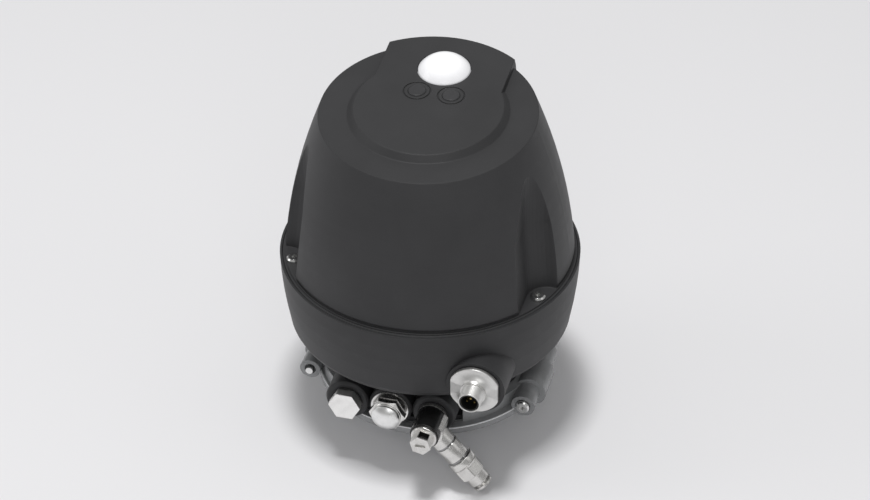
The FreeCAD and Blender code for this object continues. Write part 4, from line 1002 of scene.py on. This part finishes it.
@dataclass
class PushInElbow:
    """The swivelling elbow in the right port.

    The tube socket's heights are measured along its slope, from the point where its axis meets the
    port's axis.
    """

    across: float = 18.1 * MM
    stand: float = 71.7 * MM
    slope: float = math.radians(49.0)
    neck: float = 6.3 * MM
    waist: float = 5.7 * MM
    wide: float = 7.5 * MM
    mouth: float = 5.8 * MM
    neck_bore: float = 4.65 * MM
    tube_bore: float = 4.1 * MM
    passage: float = 3.05 * MM
    start: float = 14.5 * MM
    shelf: float = 19.6 * MM
    tube_end: float = 23.2 * MM
    groove: float = 23.8 * MM
    ring: float = 25.0 * MM
    flats_low: float = 29.6 * MM
    flats_high: float = 36.6 * MM
    end: float = 42.2 * MM
    flats: float = 13.4 * MM
    nick: float = 0.35 * MM
    nick_start: float = 0.9 * MM
    nick_end: float = 0.5 * MM
    pocket_lean: float = math.radians(14.0)
    pocket_along: tuple[float, float] = (21.0 * MM, 26.3 * MM)
    pocket_up: tuple[float, float] = (1.2 * MM, 4.7 * MM)
    pocket_half: float = 2.75 * MM

    def outline(self) -> np.ndarray:
        """Draw the socket body: a neck, a groove, a collar with a nick, a hexagon, a mouth.

        Returns:
            The closed outline, with close rows where the hexagon is.
        """
        nick_low, nick_high = self.flats_low - self.nick_start, self.flats_low - self.nick_end
        inner = self.wide - self.nick
        whole = rounded([
            (self.neck_bore, self.shelf, 0.0), (self.neck_bore, self.start, 0.15 * MM),
            (self.neck, self.start, 0.2 * MM), (self.neck, self.groove, 0.15 * MM),
            (self.waist, self.groove, 0.0), (self.waist, self.ring, 0.0),
            (self.wide, self.ring, 0.4 * MM), (self.wide, nick_low, 0.15 * MM),
            (inner, nick_low, 0.0), (inner, nick_high, 0.0), (self.wide, nick_high, 0.1 * MM),
            (self.wide, self.flats_high, 0.0), (self.mouth, self.flats_high, 0.1 * MM),
            (self.mouth, self.end, 0.35 * MM), (self.tube_bore, self.end, 0.2 * MM),
            (self.tube_bore, self.tube_end, 0.0), (self.passage, self.tube_end, 0.0),
            (self.passage, self.shelf, 0.0),
        ], 3)
        corner = (whole[:, 1] >= self.flats_high - HAIR) & (whole[:, 0] > self.wide - HAIR)
        at = int(np.argmax(corner))
        return np.concatenate([
            whole[:at],
            rows(self.wide, self.flats_low, self.flats_high - 1.0 * MM, 1.0 * MM),
            rows(self.wide, self.flats_high - 0.9 * MM, self.flats_high, 0.1 * MM),
            whole[at + 1:],
        ])

    def tube_socket(self, centre: Spot, down: Spot) -> Any:
        """Turn the socket body.

        Args:
            centre: where its axis meets the port's axis.
            down: the direction of its axis.

        Returns:
            The body.
        """
        sides = hexagonal(self.flats, self.flats_high + 0.2 * MM, math.pi / 6)

        def shape(radius: np.ndarray, turn: np.ndarray, height: np.ndarray) -> np.ndarray:
            """Cut the hexagon only between its two ends."""
            inside = (height > self.flats_low - HAIR) & (height < self.flats_high + HAIR)
            return np.where(inside, sides(radius, turn, height), radius)

        return turned("tube_socket", self.outline(), centre, down, FINE, (shape,))

    def build(self) -> None:
        """Build the socket body and dress the rest of the elbow."""
        centre = (self.across, -self.stand, PORT_HEIGHT)
        down = (math.cos(self.slope), 0.0, -math.sin(self.slope))
        dress_nodes(SmoothPlastic("sleeve_black", (0.010, 0.010, 0.010), 0.22).make(),
                    "elbow_sleeve")
        # the pocket in the bolt's nose is painted as shade
        lean, lift = math.sin(self.pocket_lean), math.cos(self.pocket_lean)
        pocket = Pocket((self.across, -PORT_FACE, PORT_HEIGHT), (
            (FRONT, *self.pocket_along),
            ((lean, 0.0, lift), *self.pocket_up),
            ((lift, 0.0, -lean), -self.pocket_half, self.pocket_half),
        ))
        bolt = PlatedMetal("elbow_bolt_nickel", Cut.TURNED, (0.74, 0.73, 0.71), 0.3, centre, FRONT,
                           pocket=pocket)
        dress_nodes(bolt.make(), "elbow_bolt")
        rings = PlatedMetal("ring_dark_nickel", Cut.POLISHED, (0.30, 0.30, 0.30), 0.10)
        dress_nodes(rings.make(), "branch_rings")
        branch = PlatedMetal("branch_nickel", Cut.TURNED, (0.74, 0.73, 0.71), 0.24, centre, down)
        metal = branch.make()
        dress_nodes(metal, "elbow_branch", "release_collar")
        stand_in(self.tube_socket(centre, down), "push_in_body", "elbow", metal)


@dataclass
class Connector:
    """The round electrical connector with its contacts.

    Heights are measured out from the face of its boss.
    """

    across: float = 43.5 * MM
    height: float = 47.6 * MM
    face: float = 73.0 * MM
    bore: float = 5.3 * MM
    shank: float = 7.3 * MM
    shank_depth: float = 12.0 * MM
    flange_radius: float = 13.7 * MM
    flange_low: float = 0.6 * MM
    flange_top: float = 2.8 * MM
    flats: float = 25.2 * MM
    collar: float = 6.8 * MM
    neck: float = 5.4 * MM
    barrel: float = 6.0 * MM
    mouth: float = 13.5 * MM
    pitch: float = 1.0 * MM
    thread_gap: float = 0.08 * MM

    def shell(self) -> Any:
        """Turn the shell: a shank, a flange with two flats, a collar and a threaded barrel.

        Returns:
            The shell.
        """
        thread_end = self.mouth - 0.3 * MM
        outline = np.concatenate([
            [[self.bore, -self.shank_depth], [self.shank, -self.shank_depth]],
            rounded([(self.shank, self.flange_low, 0.0),
                     (self.flange_radius, self.flange_low, 0.2 * MM),
                     (self.flange_radius, self.flange_top, 0.45 * MM),
                     (self.collar, self.flange_top, 0.0), (self.collar, self.neck, 0.15 * MM),
                     (self.barrel + 0.1 * MM, self.neck, 0.0)], 4),
            rows(self.barrel, self.neck, thread_end, self.thread_gap),
            [[self.barrel - 0.35 * MM, self.mouth], [self.bore, self.mouth]],
        ])
        beyond_collar = self.barrel + 2 * MM
        thread = threaded(self.barrel, self.pitch, self.neck, thread_end)

        def flange(radius: np.ndarray, turn: np.ndarray, _: np.ndarray) -> np.ndarray:
            """Cut two flats on the flange, left and right."""
            flat = self.flats / 2 / np.maximum(np.abs(np.cos(turn)), 1e-3)
            return np.where(radius > beyond_collar, np.minimum(radius, flat), radius)

        return turned("connector_shell", outline, (self.across, -self.face, self.height), FRONT,
                      FINE, (flange, thread))

    def build(self) -> None:
        """Build the shell and dress the insert and the contacts."""
        metal = PlatedMetal("connector_nickel", Cut.POLISHED, (0.72, 0.715, 0.70), 0.40)
        stand_in(self.shell(), "socket_housing", "head", metal.make())
        dress_nodes(SmoothPlastic("insulator_black", (0.01, 0.01, 0.01), 0.5).make(),
                    "contact_insert")
        # painted shade: the gold is darkened well below bright gold, for the shade deep in the
        # connector's mouth
        gold = PlatedMetal("contact_gold_darkened_for_shade", Cut.POLISHED, (0.42, 0.31, 0.12), 0.30, edge=0.05 * MM)
        dress_nodes(gold.make(), "contact_pins")


@dataclass
class ActuatorSide:
    """The adapter plate and the sensing pin under the clamp ring."""

    turning: float = 0.3 * MM

    def build(self) -> None:
        """Dress the adapter and the pin."""
        for finish, name in (
            (PlatedMetal("adapter_aluminium", Cut.TURNED, (0.62, 0.63, 0.64), 0.36,
                         pitch=self.turning), "actuator_adapter"),
            (PlatedMetal("pin_steel", Cut.GROUND, (0.62, 0.62, 0.62), 0.2), "sensing_pin"),
            (PlatedMetal("magnet_plating", Cut.POLISHED, (0.6, 0.6, 0.62), 0.12), "pin_magnet"),
        ):
            dress_nodes(finish.make(), name)


@dataclass
class InnerWorks:
    """The boards, valves and ducts inside the housing."""

    def build(self) -> None:
        """Dress the inner pieces."""
        for finish, *names in (
            (BoardLaminate("board_green"), "main_board", "light_board", "sensor_board"),
            (SmoothPlastic("moulded_black", (0.03, 0.03, 0.032), 0.45),
             "feed_pilot_valve", "exhaust_pilot_valve", "button_switches", "sensor_tube"),
            (SmoothPlastic("lamp_body", (0.85, 0.83, 0.72), 0.3), "indicator_lamps"),
            (SmoothPlastic("natural_nylon", (0.6, 0.6, 0.56), 0.4), "light_board_posts"),
            (PlatedMetal("pillar_brass", Cut.TURNED, (0.72, 0.53, 0.25), 0.25), "board_pillars"),
            (PlatedMetal("block_aluminium", Cut.GROUND, (0.6, 0.61, 0.62), 0.35),
             "pneumatic_block"),
        ):
            dress_nodes(finish.make(), *names)


# ---------------------------------------------------------------- camera, floor and light


@dataclass(frozen=True)
class Lamp:
    """A soft square lamp that faces a point."""

    name: str
    place: Spot
    size: float
    power: float
    aim: Spot

    def hang(self) -> None:
        """Add the lamp to the scene."""
        data = bpy.data.lights.new(self.name, "AREA")
        data.shape = "SQUARE"
        data.size = self.size
        data.energy = self.power
        lamp = bpy.data.objects.new(self.name, data)
        facing = (Vector(self.aim) - Vector(self.place)).to_track_quat("-Z", "Y")
        lamp.matrix_world = Matrix.Translation(self.place) @ facing.to_matrix().to_4x4()
        bpy.context.scene.collection.objects.link(lamp)


@dataclass
class Studio:
    """The photograph's view on a pale floor, lit from above, both sides and a little in front."""

    picture_width: float = 870.0
    focal_pixels: float = 3200.0
    sensor_width: float = 36.0
    elevation: float = math.radians(36.64)
    azimuth: float = math.radians(15.15)
    roll: float = math.radians(-0.383)
    distance: float = 1.7032
    aim: Spot = (0.0, 0.0, 0.078)
    offset: tuple[float, float] = (-4.81, -3.56)
    nearest: float = 0.05
    farthest: float = 50.0
    floor_level: float = -0.0219
    floor_reach: float = 6.0
    floor_tone: Colour = (0.80, 0.797, 0.81)
    room_light: float = 0.34
    lamps: tuple[Lamp, ...] = (
        Lamp("overhead", place=(-0.05, -0.17, 2.4), size=0.46, power=34.0, aim=(0.0, 0.0, 0.05)),
        Lamp("left_side", place=(-1.5, -0.4, 0.8), size=0.8, power=3.2, aim=(0.0, 0.0, 0.08)),
        Lamp("right_side", place=(1.5, -0.2, 0.9), size=0.8, power=0.9, aim=(0.0, 0.0, 0.08)),
        Lamp("front", place=(0.45, -1.5, 1.0), size=0.9, power=4.0, aim=(0.0, 0.0, 0.06)),
    )

    def camera(self) -> None:
        """Place the camera so that the bowl's rim lies where the photograph shows it."""
        ahead = Vector((-math.sin(self.azimuth), math.cos(self.azimuth), 0.0))
        right0 = Vector((math.cos(self.azimuth), math.sin(self.azimuth), 0.0))
        look = ahead * math.cos(self.elevation) - Vector((0, 0, math.sin(self.elevation)))
        up0 = ahead * math.sin(self.elevation) + Vector((0, 0, math.cos(self.elevation)))
        right = right0 * math.cos(self.roll) + up0 * math.sin(self.roll)
        up = up0 * math.cos(self.roll) - right0 * math.sin(self.roll)
        scale = self.distance / self.focal_pixels
        place = (Vector(self.aim) - right * self.offset[0] * scale + up * self.offset[1] * scale
                 - look * self.distance)
        data = bpy.data.cameras.new("photograph_view")
        data.sensor_width = self.sensor_width
        data.lens = self.sensor_width * self.focal_pixels / self.picture_width
        data.clip_start = self.nearest
        data.clip_end = self.farthest
        camera = bpy.data.objects.new("photograph_view", data)
        turn = Matrix((right, up, -look)).transposed().to_4x4()
        camera.matrix_world = Matrix.Translation(place) @ turn
        bpy.context.scene.collection.objects.link(camera)
        bpy.context.scene.camera = camera

    def floor(self) -> None:
        """Lay a pale matt floor that keeps the object's shadow."""
        reach = np.array([-self.floor_reach, self.floor_reach])
        x, y = np.meshgrid(reach, reach, indexing="ij")
        points = np.stack([x, y, np.full_like(x, self.floor_level)], axis=-1)
        made = grid_mesh("pale_floor", points[::-1], False, False)
        tree = Tree("pale_floor")
        tree.set(base_color=self.floor_tone, roughness=1.0, specular_ior_level=0.0)
        dress(made, tree.material)

    def world(self) -> None:
        """Fill the room with an even pale light, and show the background's tone to the camera."""
        world = bpy.data.worlds.new("pale_room")
        world.use_nodes = True
        bpy.context.scene.world = world
        nodes, links = world.node_tree.nodes, world.node_tree.links
        nodes.clear()
        output = nodes.new("ShaderNodeOutputWorld")
        mix = nodes.new("ShaderNodeMixShader")
        room = nodes.new("ShaderNodeBackground")
        room.inputs[0].default_value = (1.0, 1.0, 1.0, 1.0)
        room.inputs[1].default_value = self.room_light
        seen = nodes.new("ShaderNodeBackground")
        seen.inputs[0].default_value = (*self.floor_tone, 1.0)
        path = nodes.new("ShaderNodeLightPath")
        links.new(path.outputs["Is Camera Ray"], mix.inputs[0])
        links.new(room.outputs[0], mix.inputs[1])
        links.new(seen.outputs[0], mix.inputs[2])
        links.new(mix.outputs[0], output.inputs[0])

    def build(self) -> None:
        """Set up the camera, the floor, the lamps and the surroundings."""
        self.camera()
        self.floor()
        for lamp in self.lamps:
            lamp.hang()
        self.world()
        bpy.context.scene.view_settings.view_transform = "Standard"


def main() -> None:
    """Build the classes in order."""
    logging.basicConfig(level=logging.INFO, format="%(name)s: %(message)s")
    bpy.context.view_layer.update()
    Studio().build()
    for part in (Housing(), CrownControls(), ClampRing(), AirPorts(), PushInElbow(), Connector(),
                 ActuatorSide(), InnerWorks()):
        part.build()
        LOG.info("%s built", type(part).__name__)


if __name__ == "__main__":
    main()
